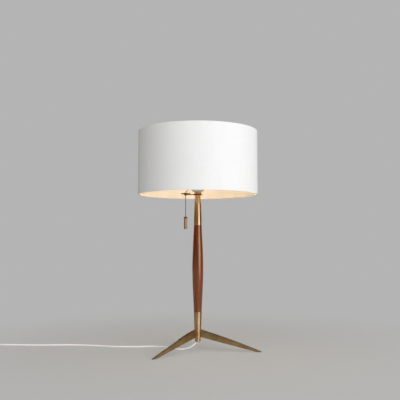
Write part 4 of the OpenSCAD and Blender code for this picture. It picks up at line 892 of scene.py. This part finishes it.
keyLight = addLight("keyLight", "AREA", stage["keyPower"], stage["keyColour"], stage["keyPlace"])
keyLight.data.shape = "RECTANGLE"
keyLight.data.size, keyLight.data.size_y = stage["keySize"]
keyLight.rotation_mode = "QUATERNION"
keyAim = Vector(stage["keyAim"]) - Vector(stage["keyPlace"])
keyLight.rotation_quaternion = keyAim.to_track_quat("-Z", "Y")
bulbGlow = addLight("bulbGlow", "POINT", stage["bulbPower"], stage["bulbColour"],
                    (0, 0, (bulb["glassZ"] + bulb["globeH"]) * mm))
bulbGlow.data.shadow_soft_size = stage["bulbR"]

world = bpy.data.worlds.new("studio")
scene.world = world
world.use_nodes = True
world.node_tree.nodes.clear()


def backdrop(colour, strength=1.0):
    return addNode(world, "Background", {"Color": colour, "Strength": strength}).outputs[0]


# the light on the lamp: a soft sky from the front and above
sky = addNode(world, "TexCoord").outputs["Generated"]
skyFrom = tuple(Vector(stage["skyFrom"]).normalized())
facing = remap(world, vectorMath(world, "DOT_PRODUCT", {0: sky, 1: skyFrom}, "Value"), 0.0, 1.0, -1.0, 1.0)
lit = backdrop(blendColours(world, facing, stage["skyStops"]))

# what is seen: the plain wall, and in reflections a darker room except behind the lamp near the horizon
white, wallGrey = (1, 1, 1, 1), (stage["wall"], stage["wall"], stage["wall"], 1)
seen = backdrop(wallGrey)
way = addNode(world, "SeparateXYZ", {0: sky}).outputs
nearer = blendShaders(world, remap(world, way["Y"], 1.0, 0.0, -0.8, -0.1), backdrop(white, stage["sides"]),
                      backdrop(white, stage["room"]))
behind = times(world, remap(world, way["Y"], 0.0, 1.0, 0.45, 0.85),
               remap(world, way["Z"], 1.0, 0.0, 0.0, 0.25))
rays = addNode(world, "LightPath").outputs
mirrored = blendShaders(world, rays["Is Glossy Ray"], seen, blendShaders(world, behind, nearer, seen))
asBackdrop = combine(world, combine(world, rays["Is Camera Ray"], rays["Is Glossy Ray"], "MAXIMUM"),
                     rays["Is Transmission Ray"], "MAXIMUM")
shown = blendShaders(world, asBackdrop, lit, mirrored)
feed(world, addNode(world, "OutputWorld").inputs["Surface"], shown)

# the floor fades into the wall's grey away from the lamp, and so keeps the lamp's shadow near it
floorShape = bmesh.new()
bmesh.ops.create_grid(floorShape, x_segments=2, y_segments=2, size=stage["floorHalf"])
floorMesh = bpy.data.meshes.new("floor")
floorShape.to_mesh(floorMesh)
floorShape.free()
floor = bpy.data.objects.new("floor", floorMesh)
scene.collection.objects.link(floor)
floorFinish, floorShader = newMaterial("paleFloor", {"Base Color": stage["floorColour"], "Roughness": 0.85,
                                                     "Specular IOR Level": 0.2})
place = addNode(floorFinish, "TexCoord").outputs["Object"]
away = vectorMath(floorFinish, "LENGTH", {0: place}, "Value")
fade = addNode(floorFinish, "MapRange", {"Value": away, "From Min": stage["fadeFrom"],
                                         "From Max": stage["fadeTo"], "To Min": stage["fadeLeast"]},
               interpolation_type="SMOOTHSTEP").outputs["Result"]
flat = addNode(floorFinish, "Emission", {"Color": wallGrey}).outputs[0]
feed(floorFinish, floorFinish.node_tree.nodes["Material Output"].inputs["Surface"],
     blendShaders(floorFinish, fade, floorShader.outputs[0], flat))
floorMesh.materials.append(floorFinish)
scene.view_settings.view_transform = "Standard"
print("lamp: stage and light set")
